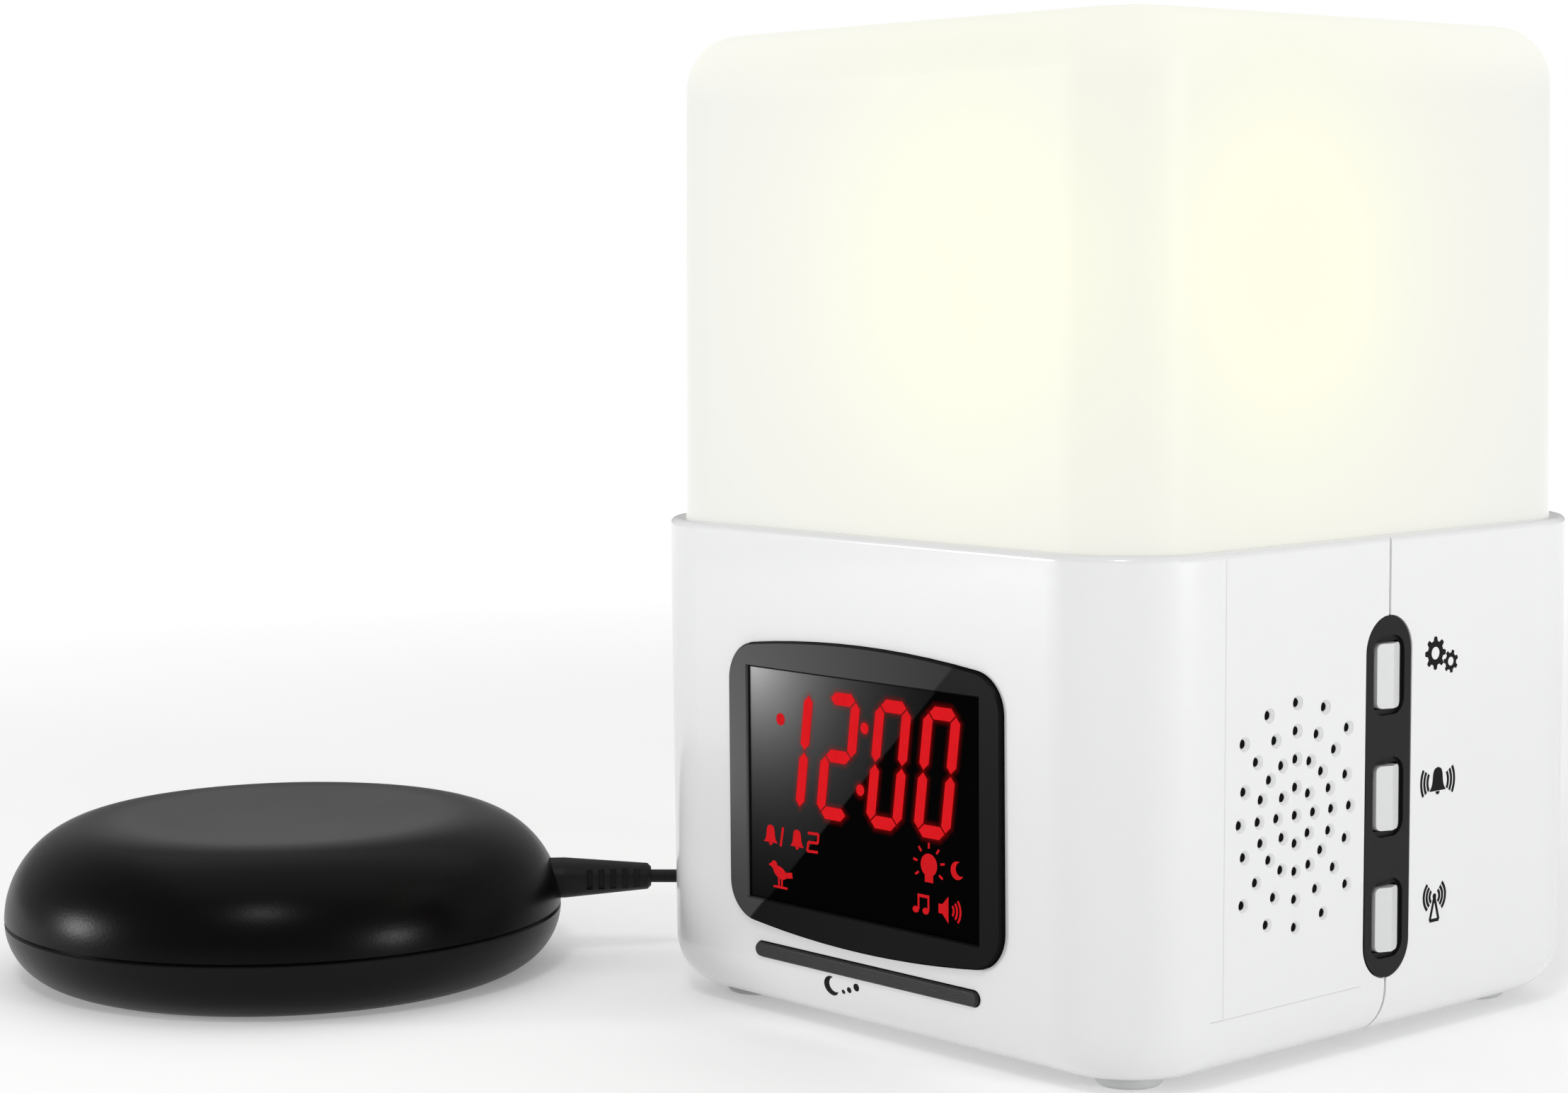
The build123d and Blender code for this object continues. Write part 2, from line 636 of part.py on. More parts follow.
def side_button(z):
    """Roof-shaped button with a retaining flange and a stem, at height z."""
    ridge = strip_face + BUTTON_PROUD
    with BuildPart() as button:
        with BuildSketch(Plane.XY.offset(z)):
            with BuildLine():
                Polyline(
                    (flange_back + FLANGE_T, -BUTTON_W / 2),
                    (ridge - BUTTON_RIDGE, -BUTTON_W / 2),
                    (ridge, 0),
                    (ridge - BUTTON_RIDGE, BUTTON_W / 2),
                    (flange_back + FLANGE_T, BUTTON_W / 2),
                    close=True,
                )
            make_face()
        extrude(amount=BUTTON_H / 2, both=True)
        fillet(button.edges().filter_by(Axis.X), BUTTON_W / 6)
        with BuildSketch(Plane.YZ.offset(flange_back)):
            with Locations((0, z)):
                Rectangle(BUTTON_W + 2 * FLANGE_LIP, BUTTON_H + 2 * FLANGE_LIP)
        extrude(amount=FLANGE_T)
        with BuildSketch(Plane.YZ.offset(side_switch_front - STEM_IN)):
            with Locations((0, z)):
                Circle(STEM_D / 2)
        extrude(amount=STEM_FREE + STEM_IN)
    return button.part


with BuildPart() as set_button:
    add(side_button(strip_z + button_pitch))
set_button.part.label = "set_button"
export_step(set_button.part, "parts/set_button.step")

with BuildPart() as alarm_button:
    add(side_button(strip_z))
alarm_button.part.label = "alarm_button"
export_step(alarm_button.part, "parts/alarm_button.step")

with BuildPart() as radio_button:
    add(side_button(strip_z - button_pitch))
radio_button.part.label = "radio_button"
export_step(radio_button.part, "parts/radio_button.step")

with BuildPart() as side_switches:
    with BuildSketch(Plane.YZ.offset(side_board_front)):
        with Locations(*button_points):
            Rectangle(SWITCH_W, SWITCH_W)
    extrude(amount=SWITCH_T)
    with BuildSketch(Plane.YZ.offset(side_switch_front)):
        with Locations(*button_points):
            Circle(STEM_D / 2 + STEM_GAP)
    extrude(amount=-switch_well, mode=Mode.SUBTRACT)
side_switches.part.label = "side_switches"
export_step(side_switches.part, "parts/side_switches.step")

with BuildPart() as side_board:
    with BuildSketch(Plane.YZ.offset(side_board_front)):
        with Locations((0, strip_z)):
            Rectangle(SIDE_BOARD_W, side_board_h)
    extrude(amount=-BOARD_T)
side_board.part.label = "side_board"
export_step(side_board.part, "parts/side_board.step")

# Loudspeaker, turned about the axis of its holes
speaker_axis = Axis((0, grille_y, GRILLE_Z), (1, 0, 0))
speaker_plane = Plane(origin=(0, grille_y, GRILLE_Z), x_dir=(1, 0, 0), z_dir=(0, 0, 1))
cone_r = speaker_r - SPEAKER_RIM_W
magnet_r = SPEAKER_MAGNET_D / 2
basket_x = inner - SPEAKER_DEPTH

with BuildPart() as speaker_frame:
    with BuildSketch(speaker_plane):
        with BuildLine():
            Polyline(
                (inner, cone_r),
                (inner, speaker_r),
                (inner - SPEAKER_RIM_T, speaker_r),
                (basket_x - SPEAKER_RIM_T / 2, magnet_r),
                (basket_x - SPEAKER_RIM_T / 2, 0),
                (basket_x, 0),
                (basket_x, magnet_r - SPEAKER_RIM_T / 2),
                (inner - SPEAKER_RIM_T, cone_r),
                close=True,
            )
        make_face()
    revolve(axis=speaker_axis)
speaker_frame.part.label = "speaker_frame"
export_step(speaker_frame.part, "parts/speaker_frame.step")

with BuildPart() as speaker_cone:
    cone_front = inner - SPEAKER_RIM_T / 2
    cone_back = basket_x + SPEAKER_RIM_T
    with BuildSketch(speaker_plane):
        with BuildLine():
            Polyline(
                (cone_front, cone_r),
                (cone_back, cone_r / 3),
                (cone_back + SPEAKER_RIM_T / 2, 0),
                (cone_back + SPEAKER_RIM_T / 2 - CONE_T, 0),
                (cone_back - CONE_T, cone_r / 3),
                (cone_front - CONE_T, cone_r),
                close=True,
            )
        make_face()
    revolve(axis=speaker_axis)
speaker_cone.part.label = "speaker_cone"
export_step(speaker_cone.part, "parts/speaker_cone.step")

with BuildPart() as speaker_magnet:
    with BuildSketch(Plane.YZ.offset(basket_x - SPEAKER_RIM_T / 2)):
        with Locations((grille_y, GRILLE_Z)):
            Circle(magnet_r)
    extrude(amount=-SPEAKER_MAGNET_T)
    chamfer(speaker_magnet.faces().sort_by(Axis.X)[0].edges(), CONE_T)
speaker_magnet.part.label = "speaker_magnet"
export_step(speaker_magnet.part, "parts/speaker_magnet.step")

# Main board and its two sockets
with BuildPart() as main_board:
    with BuildSketch(Plane.XZ.offset(-main_board_y)):
        with Locations((0, MAIN_BOARD_LOW_Z + MAIN_BOARD_H / 2)):
            Rectangle(board_w, MAIN_BOARD_H)
    extrude(amount=BOARD_T)
main_board.part.label = "main_board"
export_step(main_board.part, "parts/main_board.step")

dc_face = face_at(DC_Z) - SOCKET_SET_BACK
with BuildPart() as dc_jack:
    with BuildSketch(Plane.XZ.offset(-main_board_y)):
        with Locations((dc_x, DC_Z)):
            Rectangle(DC_BODY, DC_BODY)
    extrude(amount=-(inner - SLIP - main_board_y))
    with BuildSketch(Plane.XZ.offset(-main_board_y)):
        with Locations((dc_x, DC_Z)):
            Circle(DC_NOSE_D / 2)
    extrude(amount=-(dc_face - main_board_y))
    with BuildSketch(Plane.XZ.offset(-dc_face)):
        with Locations((dc_x, DC_Z)):
            Circle(DC_BORE_D / 2)
            Circle(DC_PIN_D / 2, mode=Mode.SUBTRACT)
    extrude(amount=DC_BORE_L, mode=Mode.SUBTRACT)
    with BuildSketch(Plane.XZ.offset(-dc_face)):
        with Locations((dc_x, DC_Z)):
            Circle(DC_PIN_D / 2)
    extrude(amount=SOCKET_SET_BACK, mode=Mode.SUBTRACT)
dc_jack.part.label = "dc_jack"
export_step(dc_jack.part, "parts/dc_jack.step")

jack_face = face_at(JACK_Z) - SOCKET_SET_BACK
with BuildPart() as shaker_jack:
    with BuildSketch(Plane.XZ.offset(-main_board_y)):
        with Locations((JACK_X, JACK_Z)):
            Rectangle(JACK_BODY, JACK_BODY)
    extrude(amount=-(inner - SLIP - main_board_y))
    with BuildSketch(Plane.XZ.offset(-main_board_y)):
        with Locations((JACK_X, JACK_Z)):
            Circle(JACK_NOSE_D / 2)
    extrude(amount=-(jack_face - main_board_y))
    with BuildSketch(Plane.XZ.offset(-jack_face)):
        with Locations((JACK_X, JACK_Z)):
            Circle(JACK_BORE_D / 2)
    extrude(amount=JACK_BORE_L, mode=Mode.SUBTRACT)
shaker_jack.part.label = "shaker_jack"
export_step(shaker_jack.part, "parts/shaker_jack.step")

# Back-up cells, laid head to tail, their contacts and the door
with BuildPart() as backup_cells:
    for side in (-1, 1):
        shoulder = Plane.YZ.offset(side * (CELL_L / 2 - CELL_NUB_L))
        with BuildSketch(Plane.YZ.offset(-side * CELL_L / 2)):
            with Locations((cell_y + side * CELL_PITCH / 2, cell_z)):
                Circle(CELL_D / 2)
        extrude(amount=side * (CELL_L - CELL_NUB_L))
        with BuildSketch(shoulder):
            with Locations((cell_y + side * CELL_PITCH / 2, cell_z)):
                Circle(CELL_NUB_D / 2)
        extrude(amount=side * CELL_NUB_L)
backup_cells.part.label = "backup_cells"
export_step(backup_cells.part, "parts/backup_cells.step")

with BuildPart() as cell_contacts:
    for side in (-1, 1):
        with BuildSketch(Plane.YZ.offset(side * bay_w / 2)):
            with Locations((cell_y - CELL_PITCH / 2, cell_z), (cell_y + CELL_PITCH / 2, cell_z)):
                Rectangle(CONTACT_W, CONTACT_W)
        extrude(amount=-side * CONTACT_T)
cell_contacts.part.label = "cell_contacts"
export_step(cell_contacts.part, "parts/cell_contacts.step")

with BuildPart() as battery_door:
    with BuildSketch(Plane.XY.offset(FOOT_H)):
        with Locations((0, cell_y)):
            Rectangle(bay_w - 2 * DOOR_GAP, bay_d - 2 * DOOR_GAP)
    extrude(amount=DOOR_T)
    with BuildSketch(Plane.XY.offset(FOOT_H)):
        with Locations((0, cell_y - bay_d / 3)):
            SlotOverall(DOOR_GRIP_W, DOOR_GRIP_W / 4)
    extrude(amount=DOOR_GRIP_DEPTH, mode=Mode.SUBTRACT)
battery_door.part.label = "battery_door"
export_step(battery_door.part, "parts/battery_door.step")

# Bed shaker: planes and axes of its own turned frame
along_x = cos(radians(SHAKER_TURN))
along_y = sin(radians(SHAKER_TURN))
shaker_r = SHAKER_D / 2
flat_r = SHAKER_FLAT_D / 2
base_r = SHAKER_BASE_D / 2
shoulder_h = SHAKER_H - SHAKER_SEAM_Z
shaker_axis = Axis((SHAKER_X, SHAKER_Y, 0), (0, 0, 1))
shaker_profile = Plane(
    origin=(SHAKER_X, SHAKER_Y, 0), x_dir=(along_x, along_y, 0), z_dir=(along_y, -along_x, 0)
)


def shaker_level(z):
    """Level plane of the shaker at height z, its local X along the lead."""
    return Plane(origin=(SHAKER_X, SHAKER_Y, z), x_dir=(along_x, along_y, 0), z_dir=(0, 0, 1))


def lead_plane(u):
    """Plane square to the lead's way out, u from the shaker's middle, at the lead's height."""
    spot = (SHAKER_X + u * along_x, SHAKER_Y + u * along_y, RELIEF_Z)
    return Plane(origin=spot, x_dir=(0, 0, 1), z_dir=(along_x, along_y, 0))


def motor_plane(v):
    """Plane square to the motor's axis, v from the shaker's middle, with local Y up."""
    spot = (SHAKER_X - v * along_y, SHAKER_Y + v * along_x, MOTOR_Z)
    return Plane(origin=spot, x_dir=(-along_x, -along_y, 0), z_dir=(-along_y, along_x, 0))


screw_shank_top = SHAKER_SEAM_Z + shoulder_h / 2
screw_head_top = SHAKER_SCREW_SINK + SHAKER_SCREW_HEAD_T
relief_share = (RELIEF_Z - SHAKER_SEAM_Z) / shoulder_h
collar_u = flat_r + (shaker_r - flat_r) * sqrt(1 - relief_share**2) - RELIEF_SEAT

with BuildPart() as shaker_upper:
    with BuildSketch(shaker_profile):
        with BuildLine():
            EllipticalCenterArc((flat_r, SHAKER_SEAM_Z), shaker_r - flat_r, shoulder_h, arc_size=90)
            dish_z = SHAKER_H - SHAKER_DISH
            TangentArc((0, dish_z), (flat_r, SHAKER_H), tangent=(1, 0))
            Line((0, dish_z), (0, dish_z - SHAKER_WALL))
            TangentArc((0, dish_z - SHAKER_WALL), (flat_r, SHAKER_H - SHAKER_WALL), tangent=(1, 0))
            EllipticalCenterArc(
                (flat_r, SHAKER_SEAM_Z),
                shaker_r - flat_r - SHAKER_WALL,
                shoulder_h - SHAKER_WALL,
                arc_size=90,
            )
            Line((shaker_r - SHAKER_WALL, SHAKER_SEAM_Z), (shaker_r, SHAKER_SEAM_Z))
        make_face()
    revolve(axis=shaker_axis)
    chamfer(shaker_upper.edges().sort_by(SortBy.LENGTH)[-1], SHAKER_SEAM_CHAMFER)
    with BuildSketch(shaker_level(SHAKER_SEAM_Z)):
        with PolarLocations(SHAKER_BOSS_PCD / 2, 3, start_angle=60):
            Circle(SHAKER_BOSS_D / 2)
    extrude(amount=shoulder_h - 0.8 * SHAKER_WALL)
    with BuildSketch(shaker_level(SHAKER_SEAM_Z)):
        with PolarLocations(SHAKER_BOSS_PCD / 2, 3, start_angle=60):
            Circle(SHAKER_SCREW_D / 2 + SCREW_PLAY)
    extrude(amount=shoulder_h / 2 + PILOT_SPARE, mode=Mode.SUBTRACT)
    with BuildSketch(lead_plane(collar_u)):
        Circle(RELIEF_COLLAR_D / 2 + RELIEF_GAP)
    extrude(amount=SHAKER_WALL * 2, mode=Mode.SUBTRACT)
    with BuildSketch(lead_plane(collar_u)):
        Circle(RELIEF_NECK_D / 2 + RELIEF_GAP)
    extrude(amount=-RELIEF_NECK_L, mode=Mode.SUBTRACT)
shaker_upper.part.label = "shaker_upper"
export_step(shaker_upper.part, "parts/shaker_upper.step")

with BuildPart() as shaker_lower:
    with BuildSketch(shaker_profile):
        with BuildLine():
            Polyline((0, SHAKER_WALL), (0, 0), (base_r, 0))
            EllipticalCenterArc((base_r, SHAKER_SEAM_Z), shaker_r - base_r, SHAKER_SEAM_Z, 270, arc_size=90)
            Line((shaker_r, SHAKER_SEAM_Z), (shaker_r - SHAKER_WALL, SHAKER_SEAM_Z))
            EllipticalCenterArc(
                (base_r, SHAKER_SEAM_Z),
                shaker_r - base_r - SHAKER_WALL,
                SHAKER_SEAM_Z - SHAKER_WALL,
                270,
                arc_size=90,
            )
            Line((base_r, SHAKER_WALL), (0, SHAKER_WALL))
        make_face()
    revolve(axis=shaker_axis)
    chamfer(shaker_lower.edges().sort_by(SortBy.LENGTH)[-1], SHAKER_SEAM_CHAMFER)
    with BuildSketch(shaker_level(SHAKER_WALL / 2)):
        with PolarLocations(SHAKER_BOSS_PCD / 2, 3, start_angle=60):
            Circle(SHAKER_LOW_BOSS_D / 2)
    extrude(amount=SHAKER_SEAM_Z - SHAKER_WALL / 2)
    with BuildSketch(shaker_level(0)):
        with PolarLocations(SHAKER_BOSS_PCD / 2, 3, start_angle=60):
            Circle(SHAKER_SCREW_HEAD_D / 2 + SLIP)
    extrude(amount=screw_head_top, mode=Mode.SUBTRACT)
    with BuildSketch(shaker_level(0)):
        with PolarLocations(SHAKER_BOSS_PCD / 2, 3, start_angle=60):
            Circle(SHAKER_SCREW_D / 2 + SLIP)
    extrude(amount=SHAKER_SEAM_Z, mode=Mode.SUBTRACT)
shaker_lower.part.label = "shaker_lower"
export_step(shaker_lower.part, "parts/shaker_lower.step")

with BuildPart() as shaker_screws:
    with BuildSketch(shaker_level(SHAKER_SCREW_SINK)):
        with PolarLocations(SHAKER_BOSS_PCD / 2, 3, start_angle=60):
            Circle(SHAKER_SCREW_HEAD_D / 2)
    extrude(amount=SHAKER_SCREW_HEAD_T)
    with BuildSketch(shaker_level(SHAKER_SCREW_SINK)):
        with PolarLocations(SHAKER_BOSS_PCD / 2, 3, start_angle=60):
            Circle(SHAKER_SCREW_D / 2)
    extrude(amount=screw_shank_top - SHAKER_SCREW_SINK)
shaker_screws.part.label = "shaker_screws"
export_step(shaker_screws.part, "parts/shaker_screws.step")

# Motor with its turning shaft and off-centre weight, held in a saddle
shaft_end = MOTOR_END + WEIGHT_GAP + WEIGHT_T + WEIGHT_GAP
with BuildPart() as motor:
    with BuildSketch(motor_plane(MOTOR_END)):
        Circle(MOTOR_D / 2)
    extrude(amount=-MOTOR_L)
    chamfer(motor.edges().filter_by(GeomType.CIRCLE), MOTOR_D / 24)
    with BuildSketch(motor_plane(MOTOR_END)):
        Circle(SHAFT_D / 2 + SHAFT_PLAY)
    extrude(amount=-SHAFT_IN - SLIP, mode=Mode.SUBTRACT)
motor.part.label = "motor"
export_step(motor.part, "parts/motor.step")

with BuildPart() as motor_shaft:
    with BuildSketch(motor_plane(MOTOR_END - SHAFT_IN)):
        Circle(SHAFT_D / 2)
    extrude(amount=shaft_end - MOTOR_END + SHAFT_IN)
motor_shaft.part.label = "motor_shaft"
export_step(motor_shaft.part, "parts/motor_shaft.step")

with BuildPart() as eccentric_weight:
    with BuildSketch(motor_plane(MOTOR_END + WEIGHT_GAP)):
        Circle(WEIGHT_R)
        with Locations((0, WEIGHT_R)):
            Rectangle(2 * WEIGHT_R, 2 * WEIGHT_R, mode=Mode.SUBTRACT)
        Circle(WEIGHT_HUB_D / 2)
        Circle(SHAFT_D / 2, mode=Mode.SUBTRACT)
    extrude(amount=WEIGHT_T)
eccentric_weight.part.label = "eccentric_weight"
export_step(eccentric_weight.part, "parts/eccentric_weight.step")

with BuildPart() as motor_cradle:
    cradle_start = MOTOR_END - MOTOR_L / 2 + CRADLE_L / 2
    with BuildSketch(motor_plane(cradle_start)):
        cradle_h = MOTOR_Z - SHAKER_WALL - MOTOR_D / 9
        with Locations((0, SHAKER_WALL - MOTOR_Z + cradle_h / 2)):
            Rectangle(CRADLE_W, cradle_h)
        Circle(MOTOR_D / 2 + SHAFT_PLAY / 2, mode=Mode.SUBTRACT)
    extrude(amount=-CRADLE_L)
motor_cradle.part.label = "motor_cradle"
export_step(motor_cradle.part, "parts/motor_cradle.step")

# Strain relief: inner flange, neck through the wall, collar and a taper with slots in its sides
relief_root = collar_u + RELIEF_COLLAR_T
relief_tip = relief_root + RELIEF_L
relief_back = collar_u - RELIEF_NECK_L
relief_steps = [
    (relief_back - RELIEF_FLANGE_T, 0),
    (relief_back - RELIEF_FLANGE_T, RELIEF_FLANGE_D / 2),
    (relief_back, RELIEF_FLANGE_D / 2),
    (relief_back, RELIEF_NECK_D / 2),
    (collar_u, RELIEF_NECK_D / 2),
    (collar_u, RELIEF_COLLAR_D / 2),
    (relief_root, RELIEF_COLLAR_D / 2),
    (relief_tip - RELIEF_TIP_CHAMFER, RELIEF_TIP_D / 2),
    (relief_tip, RELIEF_TIP_D / 2 - RELIEF_TIP_CHAMFER),
    (relief_tip, 0),
]
slot_points = [
    (relief_root + RELIEF_SLOT_START + slot * RELIEF_SLOT_PITCH, RELIEF_Z) for slot in range(RELIEF_SLOTS)
]

with BuildPart() as strain_relief:
    with BuildSketch(shaker_profile):
        with BuildLine():
            Polyline(*[(u, RELIEF_Z + r) for u, r in relief_steps], close=True)
        make_face()
    revolve(axis=Axis((SHAKER_X, SHAKER_Y, RELIEF_Z), (along_x, along_y, 0)))
    for side in (-1, 1):
        with BuildSketch(shaker_profile.offset(side * RELIEF_CORE_D / 2)):
            with Locations(*slot_points):
                Rectangle(RELIEF_SLOT_W, RELIEF_SLOT_H)
        extrude(amount=side * RELIEF_COLLAR_D, mode=Mode.SUBTRACT)
strain_relief.part.label = "strain_relief"
export_step(strain_relief.part, "parts/strain_relief.step")

# Lead: free stretch, put-away coil and the tail to the plug
coil_pitch = CORD_D + COIL_GAP
coil_r = COIL_INNER_R + COIL_HALF_TURNS * coil_pitch / 2
coil_x = JACK_X - coil_r
coil_low_z = CORD_D / 2 + TIE_GAP + TIE_T + JOIN_GAP / 2
coil_high_z = coil_low_z + (COIL_LAYERS - 1) * coil_pitch
table_z = CORD_D / 2 + JOIN_GAP / 2
plug_shoulder = face_at(JACK_Z) + PLUG_COLLAR_GAP
plug_tip = plug_shoulder + PLUG_L + PLUG_TAPER_L
relief_end = (SHAKER_X + relief_tip * along_x, SHAKER_Y + relief_tip * along_y)


def swept_lead(points):
    """Lead swept through the points, each bend as wide as its runs allow."""
    stops = [Vector(*point) for point in points]
    radii = []
    for before, corner, after in zip(stops, stops[1:], stops[2:]):
        turn = radians((corner - before).get_angle(after - corner))
        run = min((corner - before).length, (after - corner).length)
        radii.append(0.45 * run / tan(turn / 2))
    print("bend radii", [round(radius, 1) for radius in radii])
    with BuildPart() as lead:
        with BuildLine() as path:
            FilletPolyline(*stops, radius=radii)
        with BuildSketch(Plane(origin=path.line @ 0, z_dir=path.line % 0)):
            RegularPolygon(CORD_D / 2, CORD_SIDES)
        sweep()
    print("lead length", round(path.wire().length, 1))
    return lead.part


with BuildPart() as cord:
    add(
        swept_lead(
            [
                (relief_end[0], relief_end[1], RELIEF_Z),
                (relief_end[0] + 8 * along_x, relief_end[1] + 8 * along_y, RELIEF_Z),
                (-62.0, -17.0, 10.0),
                (-62.6, -2.0, 5.0),
                (-64.6, 15.0, 1.6),
                (-65.6, 34.0, table_z),
                (-63.0, 53.0, table_z),
                (-56.5, 73.0, 1.5),
                (coil_x - coil_r, coil_y - COIL_RUN_IN, coil_low_z),
                (coil_x - coil_r, coil_y - CORD_D, coil_low_z),
            ]
        )
    )
cord.part.label = "cord"
export_step(cord.part, "parts/cord.step")

# Lanes of the coil as half turns, with a climb between one layer and the next
coil_lanes = [(COIL_HALF_TURNS, 0)]
for layer in range(COIL_LAYERS):
    inward = layer % 2 == 0
    lane_steps = range(COIL_HALF_TURNS - 1, 0, -1) if inward else range(1, COIL_HALF_TURNS)
    coil_lanes += [(lane, 0) for lane in lane_steps]
    if layer < COIL_LAYERS - 1:
        coil_lanes.append((0 if inward else COIL_HALF_TURNS, coil_pitch))
coil_lanes.append((COIL_HALF_TURNS, 0))

with BuildPart() as cord_coil:
    with BuildLine() as coil_path:
        here = Vector(coil_x - coil_r, coil_y, coil_low_z)
        Line(here - Vector(0, CORD_D, 0), here)
        side = 1
        for lane, climb in coil_lanes:
            lane_r = COIL_INNER_R + lane * coil_pitch / 2
            middle = here + Vector(side * lane_r, side * lane_r, climb / 2)
            there = here + Vector(2 * side * lane_r, 0, climb)
            if climb:
                TangentArc(here, middle, tangent=(0, side, 0))
                TangentArc(there, middle, tangent=(0, side, 0))
            else:
                ThreePointArc(here, middle, there)
            here = there
            side = -side
        Line(here, here - Vector(0, CORD_D, 0))
    with BuildSketch(Plane(origin=coil_path.line @ 0, z_dir=coil_path.line % 0)):
        RegularPolygon(CORD_D / 2, CORD_SIDES)
    sweep()
section_area = CORD_SIDES / 2 * (CORD_D / 2) ** 2 * sin(radians(360 / CORD_SIDES))
print("coil length", round(coil_path.wire().length, 1), "ends", here)
print("coil volume share", cord_coil.part.volume / (section_area * coil_path.wire().length))
cord_coil.part.label = "cord_coil"
export_step(cord_coil.part, "parts/cord_coil.step")

with BuildPart() as cord_tail:
    add(
        swept_lead(
            [
                (JACK_X, coil_y - CORD_D - JOIN_GAP, coil_high_z),
                (JACK_X, coil_y - 7.8, coil_high_z),
                (JACK_X, plug_tip + 7.3, JACK_Z),
                (JACK_X, plug_tip, JACK_Z),
            ]
        )
    )
cord_tail.part.label = "cord_tail"
export_step(cord_tail.part, "parts/cord_tail.step")

with BuildPart() as shaker_plug:
    with BuildSketch(Plane(origin=(JACK_X, 0, JACK_Z), x_dir=(0, 1, 0), z_dir=(1, 0, 0))):
        with BuildLine():
            Polyline(
                (plug_shoulder, 0),
                (plug_shoulder, PLUG_D / 2),
                (plug_shoulder + PLUG_L, PLUG_D / 2),
                (plug_tip, PLUG_TIP_D / 2),
                (plug_tip, 0),
                close=True,
            )
        make_face()
    revolve(axis=Axis((JACK_X, 0, JACK_Z), (0, 1, 0)))
    fillet(shaker_plug.faces().sort_by(Axis.Y)[0].edges(), PLUG_D / 10)
shaker_plug.part.label = "shaker_plug"
export_step(shaker_plug.part, "parts/shaker_plug.step")

with BuildPart() as plug_pin:
    with BuildSketch(Plane.XZ.offset(-plug_shoulder)):
        with Locations((JACK_X, JACK_Z)):
            Circle(PLUG_PIN_D / 2)
    extrude(amount=PLUG_PIN_L)
    chamfer(plug_pin.faces().sort_by(Axis.Y)[0].edges(), PLUG_PIN_D / 5)
plug_pin.part.label = "plug_pin"
export_step(plug_pin.part, "parts/plug_pin.step")

# Band round the coil's far side
tie_near = coil_y + sqrt(COIL_INNER_R**2 - ((TIE_W + coil_pitch / 2) / 2) ** 2) - CORD_D / 2 - TIE_GAP
tie_far = coil_y + coil_r + CORD_D / 2 + TIE_GAP
tie_low = coil_low_z - CORD_D / 2 - TIE_GAP
tie_high = coil_high_z + CORD_D / 2 + TIE_GAP
with BuildPart() as coil_tie:
    with BuildSketch(Plane.YZ.offset(coil_x)):
        with Locations(((tie_near + tie_far) / 2, (tie_low + tie_high) / 2)):
            Rectangle(tie_far - tie_near + 2 * TIE_T, tie_high - tie_low + 2 * TIE_T)
            Rectangle(tie_far - tie_near, tie_high - tie_low, mode=Mode.SUBTRACT)
    extrude(amount=TIE_W / 2, both=True)
coil_tie.part.label = "coil_tie"
export_step(coil_tie.part, "parts/coil_tie.step")
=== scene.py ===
"""Looks of a bed shaker alarm clock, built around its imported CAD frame.

Sizes in the classes are millimetres, in the frame of the CAD: Z up from the table, the
display facing -Y, the loudspeaker and side buttons facing +X. Meshes are written in metres.
"""

from __future__ import annotations

import logging
from dataclasses import dataclass
from enum import Enum
from math import cos, pi, radians, sin, tan
from typing import Any, ClassVar, Sequence, Union

import bpy
import numpy as np
from mathutils import Matrix, Vector

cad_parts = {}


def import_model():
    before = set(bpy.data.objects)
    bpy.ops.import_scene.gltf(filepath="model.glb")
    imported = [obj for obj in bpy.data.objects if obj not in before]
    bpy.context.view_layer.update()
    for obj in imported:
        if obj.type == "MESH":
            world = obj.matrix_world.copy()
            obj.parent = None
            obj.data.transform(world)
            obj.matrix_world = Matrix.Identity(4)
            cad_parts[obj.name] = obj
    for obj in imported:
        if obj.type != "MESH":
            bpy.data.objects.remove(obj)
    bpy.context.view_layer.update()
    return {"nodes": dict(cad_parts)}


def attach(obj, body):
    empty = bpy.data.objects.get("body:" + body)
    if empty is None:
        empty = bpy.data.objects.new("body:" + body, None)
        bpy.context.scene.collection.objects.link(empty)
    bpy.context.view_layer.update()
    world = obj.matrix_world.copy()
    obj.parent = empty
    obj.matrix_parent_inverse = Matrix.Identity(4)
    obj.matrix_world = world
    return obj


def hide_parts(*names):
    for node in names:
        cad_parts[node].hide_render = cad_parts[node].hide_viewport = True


LOG = logging.getLogger("clock")
MM = 0.001
Colour = tuple[float, float, float]
Point = tuple[float, float, float]
Number = Union[float, "Shade"]

# Places that the CAD gives the faces which carry thin pieces
HALF_BASE = 55.0
RIM_Z = 77.1
BASE_DRAFT = 0.3
BOTTOM_R = 8.0
FOOT_H = 1.8
WINDOW_FRONT = 55.15

DEEP_BLACK: Colour = (0.004, 0.004, 0.004)


def face_at(z: np.ndarray) -> np.ndarray:
    """Distance of the base's skin from the middle, at height z: a drafted wall with a rounded foot."""
    below = np.clip(FOOT_H + BOTTOM_R - z, 0.0, BOTTOM_R)
    drawn_in = BOTTOM_R - np.sqrt(BOTTOM_R**2 - below**2)
    return HALF_BASE - (RIM_Z - z) * tan(radians(BASE_DRAFT)) - drawn_in


